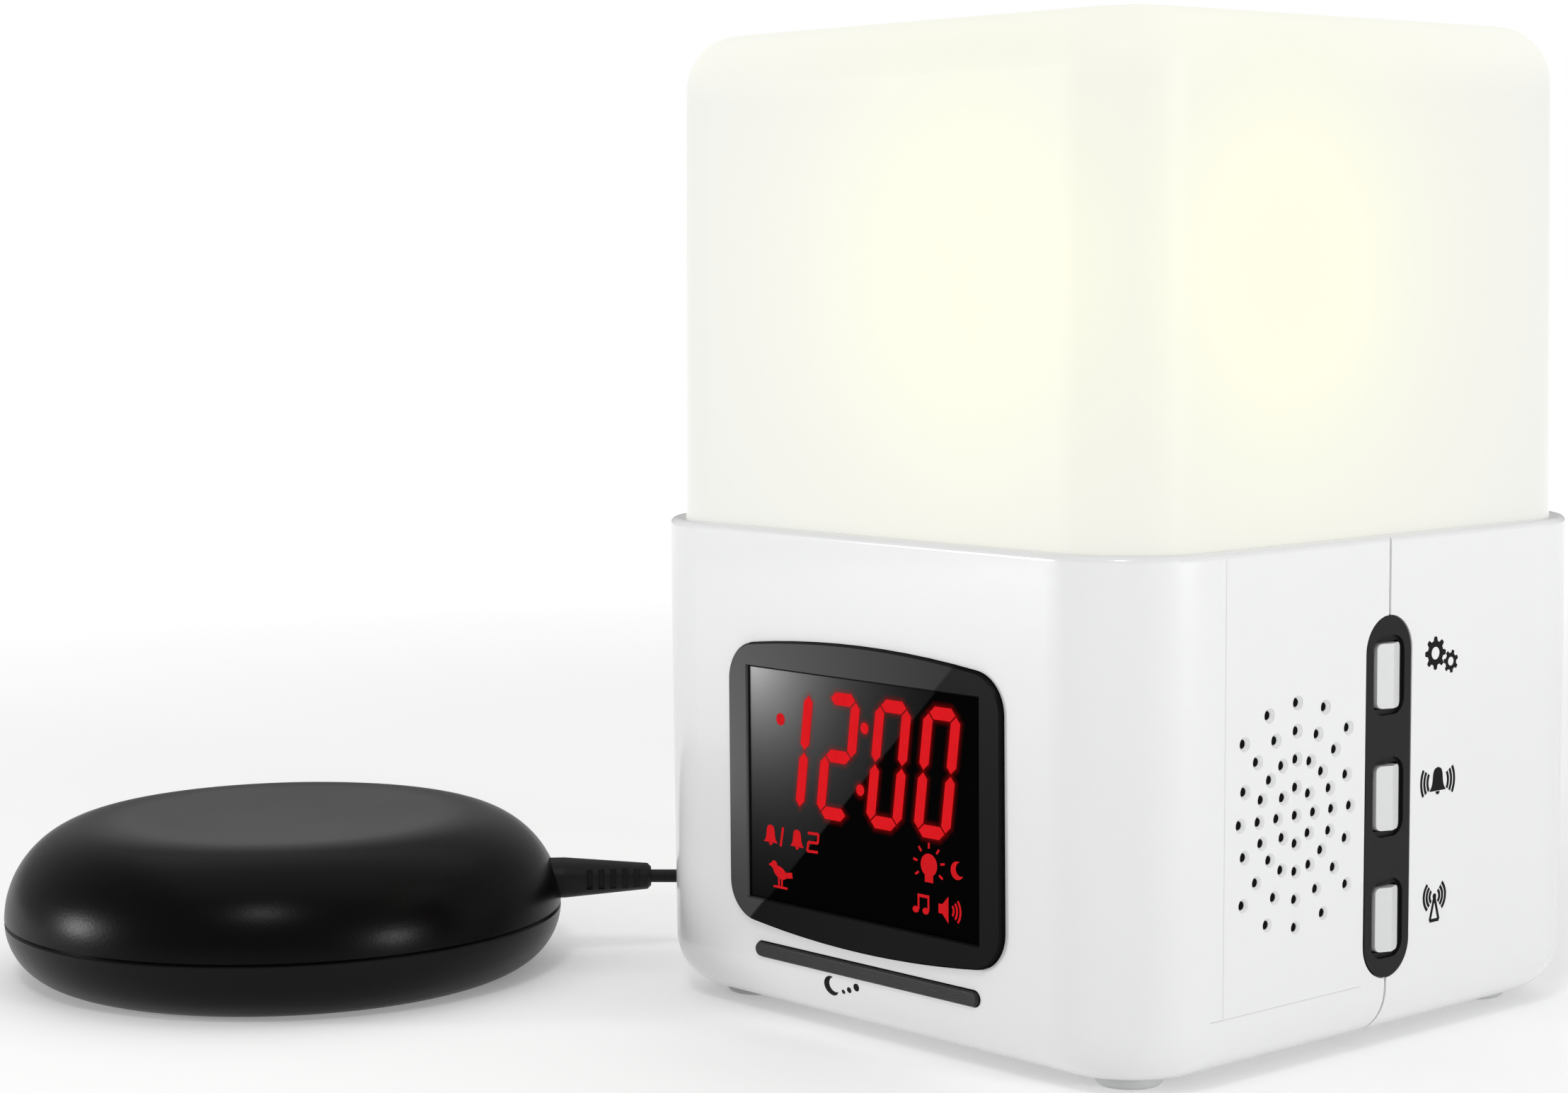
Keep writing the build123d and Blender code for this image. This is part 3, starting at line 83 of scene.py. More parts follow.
class Shade:
    """A node socket that takes part in Python sums, each of which adds a Math node."""

    def __init__(self, graph: "Graph", socket: bpy.types.NodeSocket) -> None:
        """Wraps a socket of a graph."""
        self.graph = graph
        self.socket = socket

    def math(self, operation: str, *values: Number) -> "Shade":
        """Adds a Math node that takes the values in order, and returns its result."""
        inputs = dict(enumerate(values))
        return self.graph.node("ShaderNodeMath", {"operation": operation}, inputs)

    def __add__(self, other: Number) -> "Shade":
        """Sum."""
        return self.math("ADD", self, other)

    __radd__ = __add__

    def __sub__(self, other: Number) -> "Shade":
        """Difference."""
        return self.math("SUBTRACT", self, other)

    def __rsub__(self, other: Number) -> "Shade":
        """Difference from a number."""
        return self.math("SUBTRACT", other, self)

    def __mul__(self, other: Number) -> "Shade":
        """Product."""
        return self.math("MULTIPLY", self, other)

    __rmul__ = __mul__

    def __truediv__(self, other: Number) -> "Shade":
        """Quotient."""
        return self.math("DIVIDE", self, other)

    def __pow__(self, other: Number) -> "Shade":
        """Power."""
        return self.math("POWER", self, other)

    def step(self, low: float, high: float) -> "Shade":
        """Smooth step from 0 at low to 1 at high."""
        settings = {"interpolation_type": "SMOOTHSTEP"}
        inputs = {"Value": self, "From Min": low, "From Max": high}
        return self.graph.node("ShaderNodeMapRange", settings, inputs)


class Graph:
    """Node tree of one material, with its Principled shader."""

    def __init__(self, name: str) -> None:
        """Starts a material of that name with an empty Principled shader."""
        self.material = bpy.data.materials.new(name)
        self.material.use_nodes = True
        self.tree = self.material.node_tree
        self.shader = self.tree.nodes["Principled BSDF"]

    def node(
        self,
        kind: str,
        settings: dict[str, Any] | None = None,
        inputs: dict[str | int, Any] | None = None,
        output: str | int = 0,
    ) -> Shade:
        """Adds any node.

        Args:
            kind: the node's type.
            settings: its properties, set first.
            inputs: values or sockets by input name or number.
            output: the output to return.

        Returns:
            The chosen output.
        """
        made = self.tree.nodes.new(kind)
        for key, value in (settings or {}).items():
            setattr(made, key, value)
        for key, value in (inputs or {}).items():
            self.feed(made.inputs[key], value)
        return Shade(self, made.outputs[output])

    def feed(self, socket: bpy.types.NodeSocket, value: Any) -> None:
        """Links a socket to the input, or sets its value."""
        if isinstance(value, Shade):
            self.tree.links.new(value.socket, socket)
        elif socket.type == "RGBA" and len(value) == 3:
            socket.default_value = (*value, 1.0)
        else:
            socket.default_value = value

    def set(self, name: str, value: Any) -> None:
        """Feeds a socket of the Principled shader."""
        self.feed(self.shader.inputs[name], value)

    def place(self) -> Shade:
        """Object coordinates, in metres."""
        return self.node("ShaderNodeTexCoord", output="Object")

    def axes(self) -> tuple[Shade, Shade, Shade]:
        """Object coordinates as three values in millimetres."""
        split = self.node("ShaderNodeSeparateXYZ", None, {"Vector": self.place()}, "X")
        outputs = split.socket.node.outputs
        x, y, z = (Shade(self, outputs[axis]) / MM for axis in "XYZ")
        return x, y, z

    def noise(self, grain: float, detail: float = 2.0) -> Shade:
        """Noise from 0 to 1 whose lumps are about grain millimetres wide."""
        inputs = {"Vector": self.place(), "Scale": 1.0 / (grain * MM), "Detail": detail}
        return self.node("ShaderNodeTexNoise", None, inputs)

    def mix(self, factor: Number, first: Any, second: Any) -> Shade:
        """Mixes two colours. Their sockets go by number, because the names repeat."""
        first_in, second_in, colour_out = 6, 7, 2
        inputs = {"Factor": factor, first_in: first, second_in: second}
        return self.node("ShaderNodeMix", {"data_type": "RGBA"}, inputs, colour_out)

    def bump(self, height: Number, depth: float) -> None:
        """Feeds Normal with a height from 0 to 1 that stands for depth millimetres."""
        inputs = {"Height": height, "Distance": depth * MM, "Strength": 1.0}
        self.set("Normal", self.node("ShaderNodeBump", None, inputs))


def dimmed(colour: Colour, share: float) -> Colour:
    """The colour with each channel times the share."""
    red, green, blue = colour
    return red * share, green * share, blue * share


@dataclass(frozen=True)
class Moulding:
    """Moulded plastic or rubber with a fine skin, a slight mottle and uneven gloss."""

    name: str
    colour: Colour
    roughness: float
    grain: float = 0.6
    depth: float = 0.01
    mottle: float = 0.05
    unevenness: float = 0.06
    coat: float = 0.0
    specular: float = 0.5
    mottle_grain: float = 14.0
    gloss_grain: float = 5.0

    def material(self) -> bpy.types.Material:
        """Builds the material: a noise mixes two shades, and another spreads the roughness about its mean."""
        graph = Graph(self.name)
        shade = dimmed(self.colour, 1.0 - self.mottle)
        graph.set("Base Color", graph.mix(graph.noise(self.mottle_grain), shade, self.colour))
        spread = (graph.noise(self.gloss_grain, 3.0) - 0.5) * (2.0 * self.unevenness)
        graph.set("Roughness", spread + self.roughness)
        graph.set("Specular IOR Level", self.specular)
        graph.set("Coat Weight", self.coat)
        graph.bump(graph.noise(self.grain), self.depth)
        return graph.material


@dataclass(frozen=True)
class Metal:
    """Metal with fine drawn lines along one axis."""

    name: str
    colour: Colour
    roughness: float
    stretch: Point = (1.0, 1.0, 8.0)
    fineness: float = 900.0
    worn: float = 0.8
    unevenness: float = 0.15
    depth: float = 0.01

    def material(self) -> bpy.types.Material:
        """Builds the material: a noise, stretched to lines, mixes two shades and adds to the roughness."""
        graph = Graph(self.name)
        drawn = graph.node("ShaderNodeMapping", None, {"Vector": graph.place(), "Scale": self.stretch})
        inputs = {"Vector": drawn, "Scale": self.fineness, "Detail": 3.0}
        lines = graph.node("ShaderNodeTexNoise", None, inputs)
        graph.set("Base Color", graph.mix(lines, dimmed(self.colour, self.worn), self.colour))
        graph.set("Metallic", 1.0)
        graph.set("Roughness", lines * self.unevenness + self.roughness)
        graph.bump(lines, self.depth)
        return graph.material


@dataclass(frozen=True)
class LitPlastic:
    """Plastic that gives off its own light, as a lit segment does."""

    name: str
    colour: Colour
    glow: Colour
    strength: float = 1.0
    least: float = 0.86
    grain: float = 1.5
    roughness: float = 0.4

    def material(self) -> bpy.types.Material:
        """Builds the material: a noise takes the light from its least share to the full."""
        graph = Graph(self.name)
        dim = dimmed(self.glow, self.least)
        graph.set("Base Color", self.colour)
        graph.set("Roughness", self.roughness)
        graph.set("Specular IOR Level", 0.0)
        graph.set("Emission Color", graph.mix(graph.noise(self.grain), dim, self.glow))
        graph.set("Emission Strength", self.strength)
        return graph.material


@dataclass(frozen=True)
class SoftGlow:
    """Light that fades away from lit figures, by the piece's own attribute."""

    name: str
    glow: Colour
    density: float
    far_share: float = 0.6

    def material(self) -> bpy.types.Material:
        """Builds the material: denser with the square of the attribute, and brighter in step with it."""
        graph = Graph(self.name)
        near = graph.node("ShaderNodeAttribute", {"attribute_name": Halo.ATTRIBUTE}, None, "Fac")
        graph.set("Base Color", (0.0, 0.0, 0.0))
        graph.set("Specular IOR Level", 0.0)
        graph.set("Emission Color", graph.mix(near, dimmed(self.glow, self.far_share), self.glow))
        graph.set("Emission Strength", 1.0)
        graph.set("Alpha", near * near * self.density)
        return graph.material


@dataclass(frozen=True)
class Diffuser:
    """Milky plastic with painted light: a lamp near two opposite corners, each lighting the faces on both
    sides of it.
    """

    name: str = "milky_diffuser"
    colour: Colour = (0.22, 0.221, 0.214)
    painted_lamp_tint: Colour = (0.22, 0.221, 0.06)
    even_glow: Colour = (0.6, 0.601, 0.592)
    spot_glow: Colour = (0.79, 0.785, 0.735)
    top_glow: Colour = (0.715, 0.715, 0.67)
    lamp_z: float = 116.5
    aside: float = 20.5
    reach: float = 21.0
    halo: float = 56.0
    halo_share: float = 0.5
    top_z: float = 141.0
    top_rise: float = 10.0
    roughness: float = 0.36
    gloss_grain: float = 6.0
    unevenness: float = 0.06
    specular: float = 0.08
    grain: float = 0.5
    depth: float = 0.006

    def _spot(self, across: Shade, up: Shade, reach: float) -> Shade:
        """Soft round spot: e to the power of minus the squared distance over the squared reach."""
        fall = (across + up * up) / (-(reach**2))
        return fall.math("EXPONENT", fall)

    def material(self) -> bpy.types.Material:
        """Builds the material.

        The painted light on each face is a share of a narrow spot and a share of a wide one, on an even glow.
        A smooth step of the height turns it to the top's own even glow. The base colour is painted warmer in
        step with that light.
        """
        graph = Graph(self.name)
        x, y, z = graph.axes()
        front = x + y.math("SIGN", y) * self.aside
        right = y + x.math("SIGN", x) * self.aside
        across = x.math("MINIMUM", front * front, right * right)
        up = z - self.lamp_z
        spot = self._spot(across, up, self.reach) * (1.0 - self.halo_share)
        lit = spot + self._spot(across, up, self.halo) * self.halo_share
        top = z.step(self.top_z, self.top_z + self.top_rise)
        # Painted light: the lamp's warm tint is laid into the base colour where the spots fall
        graph.set("Base Color", graph.mix(lit, self.colour, self.painted_lamp_tint))
        spots = graph.mix(lit, self.even_glow, self.spot_glow)
        graph.set("Emission Color", graph.mix(top, spots, self.top_glow))
        graph.set("Emission Strength", 1.0)
        graph.set("Roughness", graph.noise(self.gloss_grain) * self.unevenness + self.roughness)
        graph.set("Specular IOR Level", self.specular)
        graph.bump(graph.noise(self.grain), self.depth)
        return graph.material


@dataclass(frozen=True)
class GlossBlack:
    """Black plastic with a painted glare: a clear coat, fuller towards one upper corner and cut by a slanting
    edge.

    The coat is a painted reflection. Its weight falls with the distance from that corner, e times less for
    each reach. Past the edge it is at rest.
    """

    name: str
    colour: Colour = (0.0016, 0.0016, 0.0017)
    glare_peak: tuple[float, float] = (-26.0, 58.0)
    reach: float = 9.2
    glare_gain: float = 1.1
    edge: tuple[float, float] = (-2.6, 37.7)
    edge_half: float = 0.25
    slope: float = 43.8
    rest: float = 0.0
    glare_ior: float = 3.4
    glare_roughness: float = 0.42
    roughness: float = 0.2
    gloss_grain: float = 4.0
    unevenness: float = 0.08
    least: float = 0.7
    mottle_grain: float = 9.0
    grain: float = 1.2
    depth: float = 0.002

    def material(self) -> bpy.types.Material:
        """Builds the material on the front's own coordinates."""
        graph = Graph(self.name)
        x, _, z = graph.axes()
        turn = radians(self.slope)
        past = (z - self.edge[1]) * cos(turn) - (x - self.edge[0]) * sin(turn)
        dx, dz = x - self.glare_peak[0], z - self.glare_peak[1]
        away = (dx * dx + dz * dz) ** 0.5 / -self.reach
        full = away.math("EXPONENT", away) * self.glare_gain
        weight = full.math("MINIMUM", full, 1.0)
        within = past.step(-self.edge_half, self.edge_half)
        # Painted reflection: the coat's weight lays a fixed glare on the surface, strongest at one corner
        graph.set("Coat Weight", within * (weight - self.rest) + self.rest)
        graph.set("Coat Roughness", self.glare_roughness)
        graph.set("Coat IOR", self.glare_ior)
        mottle = graph.noise(self.mottle_grain)
        graph.set("Base Color", graph.mix(mottle, dimmed(self.colour, self.least), self.colour))
        graph.set("Roughness", graph.noise(self.gloss_grain) * self.unevenness + self.roughness)
        graph.set("Specular IOR Level", 0.0)
        graph.bump(graph.noise(self.grain), self.depth)
        return graph.material


@dataclass(frozen=True)
class PebbleBlack:
    """Black shell, satin round its sides and a matte disc on its top, painted lighter grey for the light from
    above.
    """

    name: str
    centre: tuple[float, float] = (-108.6, -86.7)
    side: Colour = (0.0008, 0.0008, 0.00085)
    disc: Colour = (0.1, 0.1, 0.102)
    disc_r: float = 30.5
    edge: float = 5.0
    disc_z: float = 24.0
    rise: float = 1.0
    least: float = 0.72
    mottle_grain: float = 16.0
    grain_share: float = 0.4
    roughness: float = 0.26
    unevenness: float = 0.08
    disc_roughness: float = 0.3
    specular: float = 0.09
    grain: float = 0.45
    depth: float = 0.014

    def material(self) -> bpy.types.Material:
        """Builds the material: the disc is a soft step of the distance from the shell's axis."""
        graph = Graph(self.name)
        x, y, z = graph.axes()
        dx, dy = x - self.centre[0], y - self.centre[1]
        away = (dx * dx + dy * dy) ** 0.5
        within = 1.0 - away.step(self.disc_r - self.edge, self.disc_r + self.edge)
        top = within * z.step(self.disc_z - self.rise, self.disc_z)
        grain = graph.noise(self.grain, 3.0)
        lumps = graph.noise(self.mottle_grain) * (1.0 - self.grain_share)
        mottle = lumps + grain * self.grain_share
        # Painted light: the disc's lighter grey stands for the light falling on the top; its matte finish is
        # real
        disc = graph.mix(mottle, dimmed(self.disc, self.least), self.disc)
        graph.set("Base Color", graph.mix(top, self.side, disc))
        graph.set("Roughness", top * self.disc_roughness + grain * self.unevenness + self.roughness)
        graph.set("Specular IOR Level", self.specular)
        graph.bump(grain, self.depth)
        return graph.material


class Face(Enum):
    """Faces of the clock that carry thin flat pieces."""

    WINDOW = "window"
    FRONT = "front"
    RIGHT = "right"

    def place(self, flat: np.ndarray, lift: float) -> np.ndarray:
        """Carries flat points to the face.

        Args:
            flat: points as columns across and up, in millimetres.
            lift: how far out of the face they stand.

        Returns:
            Points in metres, in the frame of the CAD.
        """
        across, up = flat[:, 0], flat[:, 1]
        if self is Face.RIGHT:
            return np.column_stack([face_at(up) + lift, across, up]) * MM
        out = np.full(len(flat), WINDOW_FRONT) if self is Face.WINDOW else face_at(up)
        return np.column_stack([across, -(out + lift), up]) * MM


def show(name: str, data: bpy.types.ID) -> bpy.types.Object:
    """New object of the scene that shows the data."""
    made = bpy.data.objects.new(name, data)
    bpy.context.scene.collection.objects.link(made)
    return made


def arc(centre: Sequence[float], radius: float, start: float, end: float, count: int) -> np.ndarray:
    """Points on a circle's arc from start to end, in degrees, anticlockwise."""
    turn = np.radians(np.linspace(start, end, count))
    return np.column_stack([centre[0] + radius * np.cos(turn), centre[1] + radius * np.sin(turn)])


def turned(degrees: float) -> np.ndarray:
    """Matrix that turns rows of flat points anticlockwise."""
    turn = radians(degrees)
    return np.array([(cos(turn), sin(turn)), (-sin(turn), cos(turn))])


def loop(centre: Sequence[float], radius: float, count: int = 48) -> np.ndarray:
    """Points round a whole circle, the first not repeated."""
    return arc(centre, radius, 0.0, 360.0, count + 1)[:-1]


@dataclass
class Inlay:
    """Thin flat shapes on a face, made one closed mesh.

    A patch is a plain outline. A ribbon is a pair of outlines of equal count, the wall between
    them being filled; an open ribbon has two ends and a closed one goes round a hole.
    """

    name: str
    face: Face
    thickness: float = 0.05
    sink: float = 0.03

    def __post_init__(self) -> None:
        """Starts with no shapes."""
        self.points: list[np.ndarray] = []
        self.faces: list[list[int]] = []
        self.count = 0

    def _layers(self, flat: np.ndarray) -> int:
        """Adds an outline's front and back points, and returns the number of the first."""
        first = self.count
        self.points += [self.face.place(flat, self.thickness), self.face.place(flat, -self.sink)]
        self.count += 2 * len(flat)
        return first

    def patch(self, outline: np.ndarray) -> None:
        """Adds an outline, anticlockwise, as a thin plate."""
        count = len(outline)
        front = self._layers(outline) + np.arange(count)
        after = np.roll(front, -1)
        self.faces.append(front.tolist())
        self.faces.append((front[::-1] + count).tolist())
        self.faces += np.column_stack([front, front + count, after + count, after]).tolist()

    def ribbon(self, outer: np.ndarray, inner: np.ndarray, closed: bool = True) -> None:
        """Adds the band between two outlines that run the same way, anticlockwise."""
        count = len(outer)
        first = self._layers(np.vstack([outer, inner]))
        out = first + np.arange(count)
        into = out + count
        back = 2 * count
        steps = slice(None) if closed else slice(0, count - 1)
        out_next, into_next = np.roll(out, -1), np.roll(into, -1)
        bands = [
            (out, out_next, into_next, into),
            (into + back, into_next + back, out_next + back, out + back),
            (out, out + back, out_next + back, out_next),
            (into_next, into_next + back, into + back, into),
        ]
        for band in bands:
            self.faces += np.column_stack(band)[steps].tolist()
        if not closed:
            start = [out[0], into[0], into[0] + back, out[0] + back]
            end = [out[-1], out[-1] + back, into[-1] + back, into[-1]]
            self.faces += np.array([start, end]).tolist()

    def bar(self, start: Sequence[float], end: Sequence[float], width: float) -> None:
        """Adds a straight bar of a given width from start to end."""
        a, b = np.array(start, float), np.array(end, float)
        along = (b - a) / np.linalg.norm(b - a)
        side = np.array([-along[1], along[0]]) * width / 2
        self.patch(np.array([a - side, b - side, b + side, a + side]))

    def curve(self, centre: Sequence[float], radius: float, start: float, end: float, width: float) -> None:
        """Adds a band along a circle's arc, in degrees."""
        outer, inner = (arc(centre, radius + side, start, end, 17) for side in (width / 2, -width / 2))
        self.ribbon(outer, inner, False)

    def build(self, material: bpy.types.Material, body: str, slot: str) -> bpy.types.Object:
        """Makes the mesh and lets it ride.

        Args:
            material: its finish.
            body: the CAD body that it rides on.
            slot: not used.

        Returns:
            The new object.
        """
        mesh = bpy.data.meshes.new(self.name)
        mesh.from_pydata(np.vstack(self.points).tolist(), [], self.faces)
        mesh.materials.append(material)
        made = show(self.name, mesh)
        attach(made, body)
        LOG.info("%s: %d faces on %s", self.name, len(self.faces), body)
        return made


@dataclass
class Halo(Inlay):
    """Bands round outlines, with an attribute that is one at the outline and nothing at the outer edge."""

    ATTRIBUTE: ClassVar[str] = "glow"

    def __post_init__(self) -> None:
        """Starts with no bands."""
        super().__post_init__()
        self.near: list[np.ndarray] = []

    def surround(self, outline: np.ndarray, reach: float) -> None:
        """Adds the band round an outline: each corner moves out so that both its sides move by reach."""
        along = np.roll(outline, -1, axis=0) - outline
        normal = np.column_stack([along[:, 1], -along[:, 0]]) / np.linalg.norm(along, axis=1)[:, None]
        before = np.roll(normal, 1, axis=0)
        out = (normal + before) / (1.0 + (normal * before).sum(axis=1))[:, None]
        self.ribbon(outline + out * reach, outline)
        self.near.append(np.tile(np.repeat([0.0, 1.0], len(outline)), 2))

    def build(self, material: bpy.types.Material, body: str, slot: str) -> bpy.types.Object:
        """Makes the mesh as any inlay's, and gives it its attribute."""
        made = super().build(material, body, slot)
        near = made.data.attributes.new(self.ATTRIBUTE, "FLOAT", "POINT")
        near.data.foreach_set("value", np.concatenate(self.near).astype(np.float32))
        return made


@dataclass
class Signs:
    """Plain signs of one's own drawing, added to an inlay at a centre and a size in millimetres."""

    inlay: Inlay
    width: float = 0.4

    def gear(self, centre: Sequence[float], radius: float, teeth: int, turn: float = 0.0) -> None:
        """Toothed ring: the radius steps out by a quarter on each tooth, round a plain hole."""
        angle = np.linspace(0.0, 2.0 * pi, 12 * teeth, endpoint=False)
        tooth = np.clip(4.0 * np.cos(teeth * (angle - radians(turn))), -1.0, 1.0)
        ray = np.column_stack([np.cos(angle), np.sin(angle)])
        outer = np.array(centre) + ray * (radius * (0.875 + 0.125 * tooth))[:, None]
        self.inlay.ribbon(outer, np.array(centre) + ray * radius * 0.38)

    def bell(self, foot: Sequence[float], height: float) -> None:
        """Bell: its half width grows slowly down a dome, then flares; a clapper hangs below it."""
        up = np.linspace(1.0, 0.0, 17)
        half = height * (0.29 * np.sqrt(np.clip(1.0 - up**6, 0.0, 1.0)) + 0.2 * (1.0 - up) ** 5)
        side = np.column_stack([half, up * height * 0.86 + height * 0.14])
        outline = np.vstack([side[::-1], side * (-1.0, 1.0)])
        self.inlay.patch(np.array(foot) + outline)
        self.inlay.patch(np.array(foot) + arc((0.0, height * 0.12), height * 0.12, 180.0, 360.0, 13))

    def waves(self, centre: Sequence[float], radii: Sequence[float], middle: float, spread: float) -> None:
        """Arcs of growing radius about one centre, each spread degrees to both sides of the middle."""
        for radius in radii:
            self.inlay.curve(centre, radius, middle - spread, middle + spread, self.width)

    def moon(self, centre: Sequence[float], radius: float, turn: float = 20.0) -> None:
        """Crescent: the band between a circle's arc from tip to tip and one that is set to one side."""
        tip_turn, aside, blunt = 50.0, 0.55, 4.0
        tip = radians(tip_turn)
        mouth = np.degrees(np.arctan2(sin(tip), cos(tip) - aside)) + blunt
        inner_r = np.hypot(sin(tip), cos(tip) - aside)
        outer = arc((0.0, 0.0), 1.0, tip_turn, 360.0 - tip_turn, 33)
        inner = arc((aside, 0.0), inner_r, mouth, 360.0 - mouth, 33)
        outer, inner = (np.array(centre) + radius * side @ turned(turn) for side in (outer, inner))
        self.inlay.ribbon(outer, inner, False)

    def bulb(self, centre: Sequence[float], radius: float) -> None:
        """Lamp bulb: a round head on a short neck, with rays round it."""
        head = arc(centre, radius, -60.0, 240.0, 33)
        neck = np.array([(-0.5, -1.5), (0.5, -1.5)]) * radius + centre
        self.inlay.patch(np.vstack([head, neck]))
        for turn in np.radians(np.arange(-30.0, 240.0, 40.0)):
            ray = np.array([cos(turn), sin(turn)])
            self.inlay.bar(centre + ray * radius * 1.45, centre + ray * radius * 1.95, self.width)

    def notes(self, corner: Sequence[float], height: float) -> None:
        """Two note heads on stems under one beam."""
        span = height * 0.72
        for x in (0.0, span):
            head = loop((0.0, 0.0), height * 0.17, 20) * (1.3, 1.0)
            self.inlay.patch(np.array(corner) + head + (x, height * 0.17))
            stem = np.array(corner) + (x + height * 0.2, 0.0)
            self.inlay.bar(stem + (0.0, height * 0.2), stem + (0.0, height), self.width)
        beam = np.array(corner) + (height * 0.2, height * 0.92)
        self.inlay.bar(beam, beam + (span, 0.0), height * 0.16)

    def speaker(self, corner: Sequence[float], height: float) -> None:
        """Loudspeaker: a small box that opens to a cone, with waves in front."""
        box = np.array([(0.0, 0.32), (0.2, 0.32), (0.52, 0.0), (0.52, 1.0), (0.2, 0.68), (0.0, 0.68)])
        self.inlay.patch(np.array(corner) + box * height)
        middle = np.array(corner) + (height * 0.5, height * 0.5)
        self.waves(middle, (height * 0.3, height * 0.48, height * 0.66), 0.0, 38.0)

    def bird(self, foot: Sequence[float], height: float) -> None:
        """Bird on a perch: a leaning oval, a round head with a beak, a tail and two legs."""
        ground = np.array(foot)
        body = loop((0.0, 0.0), height, 40) * (0.36, 0.2) @ turned(-22.0)
        self.inlay.patch(ground + body + (0.0, 0.52 * height))
        self.inlay.patch(loop(ground + (-0.3 * height, 0.76 * height), 0.15 * height, 24))
        beak = np.array([(-0.6, 0.74), (-0.41, 0.67), (-0.41, 0.84)]) * height
        tail = np.array([(0.2, 0.34), (0.66, 0.4), (0.62, 0.6), (0.24, 0.54)]) * height
        for outline in (beak, tail):
            self.inlay.patch(ground + outline)
        for x in (-0.06 * height, 0.1 * height):
            self.inlay.bar(ground + (x, 0.04 * height), ground + (x, 0.36 * height), self.width)
        self.inlay.bar(ground - (0.34 * height, 0.0), ground + (0.38 * height, 0.0), self.width)

    def mast(self, foot: Sequence[float], height: float) -> None:
        """Mast: two legs to a round head, a cross bar, and waves to both sides of the head."""
        ground = np.array(foot)
        head = ground + (0.0, height * 0.62)
        for side in (-1.0, 1.0):
            self.inlay.bar(ground + (side * height * 0.18, 0.0), head, self.width)
        self.inlay.bar(ground - (height * 0.19, 0.0), ground + (height * 0.19, 0.0), self.width)
        self.inlay.patch(loop(head, height * 0.075, 20))
        for middle in (0.0, 180.0):
            self.waves(head, (height * 0.2, height * 0.32, height * 0.44), middle, 48.0)


@dataclass
class Frame:
    """The CAD pieces, loaded once, which take finishes by name."""

    nodes: dict[str, bpy.types.Object]

    def dress(self, material: bpy.types.Material, *names: str) -> None:
        """Gives the named CAD pieces a finish."""
        for name in names:
            piece = self.nodes[name]
            if not piece.material_slots:
                piece.data.materials.append(material)
            for slot in piece.material_slots:
                slot.material = material
            LOG.info("%s: %s", name, material.name)


@dataclass
class Housing:
    """Clock base: two glossy halves, feet, sockets and what is inside."""

    grille_y: float = -20.8
    grille_z: float = 38.1
    pitch: float = 4.08
    hole_shade_r: float = 0.62
    hole_shade_depth: float = 0.52
    hole_shade_t: float = 0.2
    line_y: float = -36.5
    line_ends_z: tuple[float, float] = (11.0, RIM_Z - 0.9)
    foot_line_z: float = 10.8
    foot_line_ends_y: tuple[float, float] = (-39.1, -5.6)
    line_w: float = 0.13
    line_t: float = 0.01

    def holes(self) -> np.ndarray:
        """Middles of the loudspeaker's holes: whole rings, and two fans of an outer one."""
        whole = [(0, 1, 0.0, 360.0), (1, 8, 0.0, 360.0), (2, 16, 0.0, 360.0), (3, 16, 0.0, 360.0)]
        fans = [(4, 5, -45.0, 67.5), (4, 5, 135.0, 247.5)]
        flat = np.vstack(
            [arc((0.0, 0.0), ring * self.pitch, *ends, count + 1)[:-1] for ring, count, *ends in whole + fans]
        )
        return np.column_stack([self.grille_y - flat[:, 1], self.grille_z + flat[:, 0]])

    def build(self, frame: Frame) -> None:
        """Gives the base its finishes and puts black discs of painted shade behind the loudspeaker's holes.
        """
        gloss = Moulding(
            "gloss_white",
            (0.74, 0.742, 0.745),
            roughness=0.2,
            grain=1.5,
            depth=0.003,
            mottle=0.012,
            unevenness=0.03,
            coat=0.25,
            specular=0.45,
        )
        frame.dress(gloss.material(), "front_housing", "rear_housing", "battery_door")
        feet = Moulding("pale_feet", (0.54, 0.545, 0.55), roughness=0.5)
        frame.dress(feet.material(), "feet")
        black = Moulding("socket_black", (0.012, 0.012, 0.012), roughness=0.45, specular=0.25).material()
        frame.dress(black, "dc_jack", "shaker_jack", "speaker_cone", "snooze_switch", "side_switches")
        board = Moulding("board_green", (0.03, 0.13, 0.06), roughness=0.4, mottle=0.2)
        frame.dress(board.material(), "main_board", "display_board", "side_board")
        steel = Metal("bright_steel", (0.62, 0.62, 0.6), roughness=0.25)
        frame.dress(steel.material(), "case_screws", "cell_contacts", "speaker_frame", "speaker_magnet")
        cells = Moulding("cell_wrap", (0.05, 0.06, 0.09), roughness=0.3, coat=0.3)
        frame.dress(cells.material(), "backup_cells")
        # Painted shade: black discs sit behind the holes, where the inside would only be in shade
        hole_shade = Inlay("painted_hole_shade", Face.RIGHT, -self.hole_shade_depth, self.hole_shade_depth + self.hole_shade_t)
        for middle in self.holes():
            hole_shade.patch(loop(middle, self.hole_shade_r, 16))
        shade_finish = Moulding(
            "hole_shade_black", DEEP_BLACK, roughness=0.8, grain=0.2, depth=0.05, mottle=0.3, specular=0.05
        )
        hole_shade.build(shade_finish.material(), "clock", "cone")
        self.faint_line()

    def faint_line(self) -> None:
        """Draws a faint grey line down the loudspeaker's face and along its foot."""
        line = Inlay("faint_line", Face.RIGHT, self.line_t)
        low, high = self.line_ends_z
        line.bar((self.line_y, low), (self.line_y, high), self.line_w)
        start, end = self.foot_line_ends_y
        line.bar((start, self.foot_line_z), (end, self.foot_line_z), self.line_w)
        shade = Moulding("line_grey", (0.6, 0.6, 0.605), roughness=0.4, grain=0.8, depth=0.004, mottle=0.1)
        line.build(shade.material(), "clock", "housing")


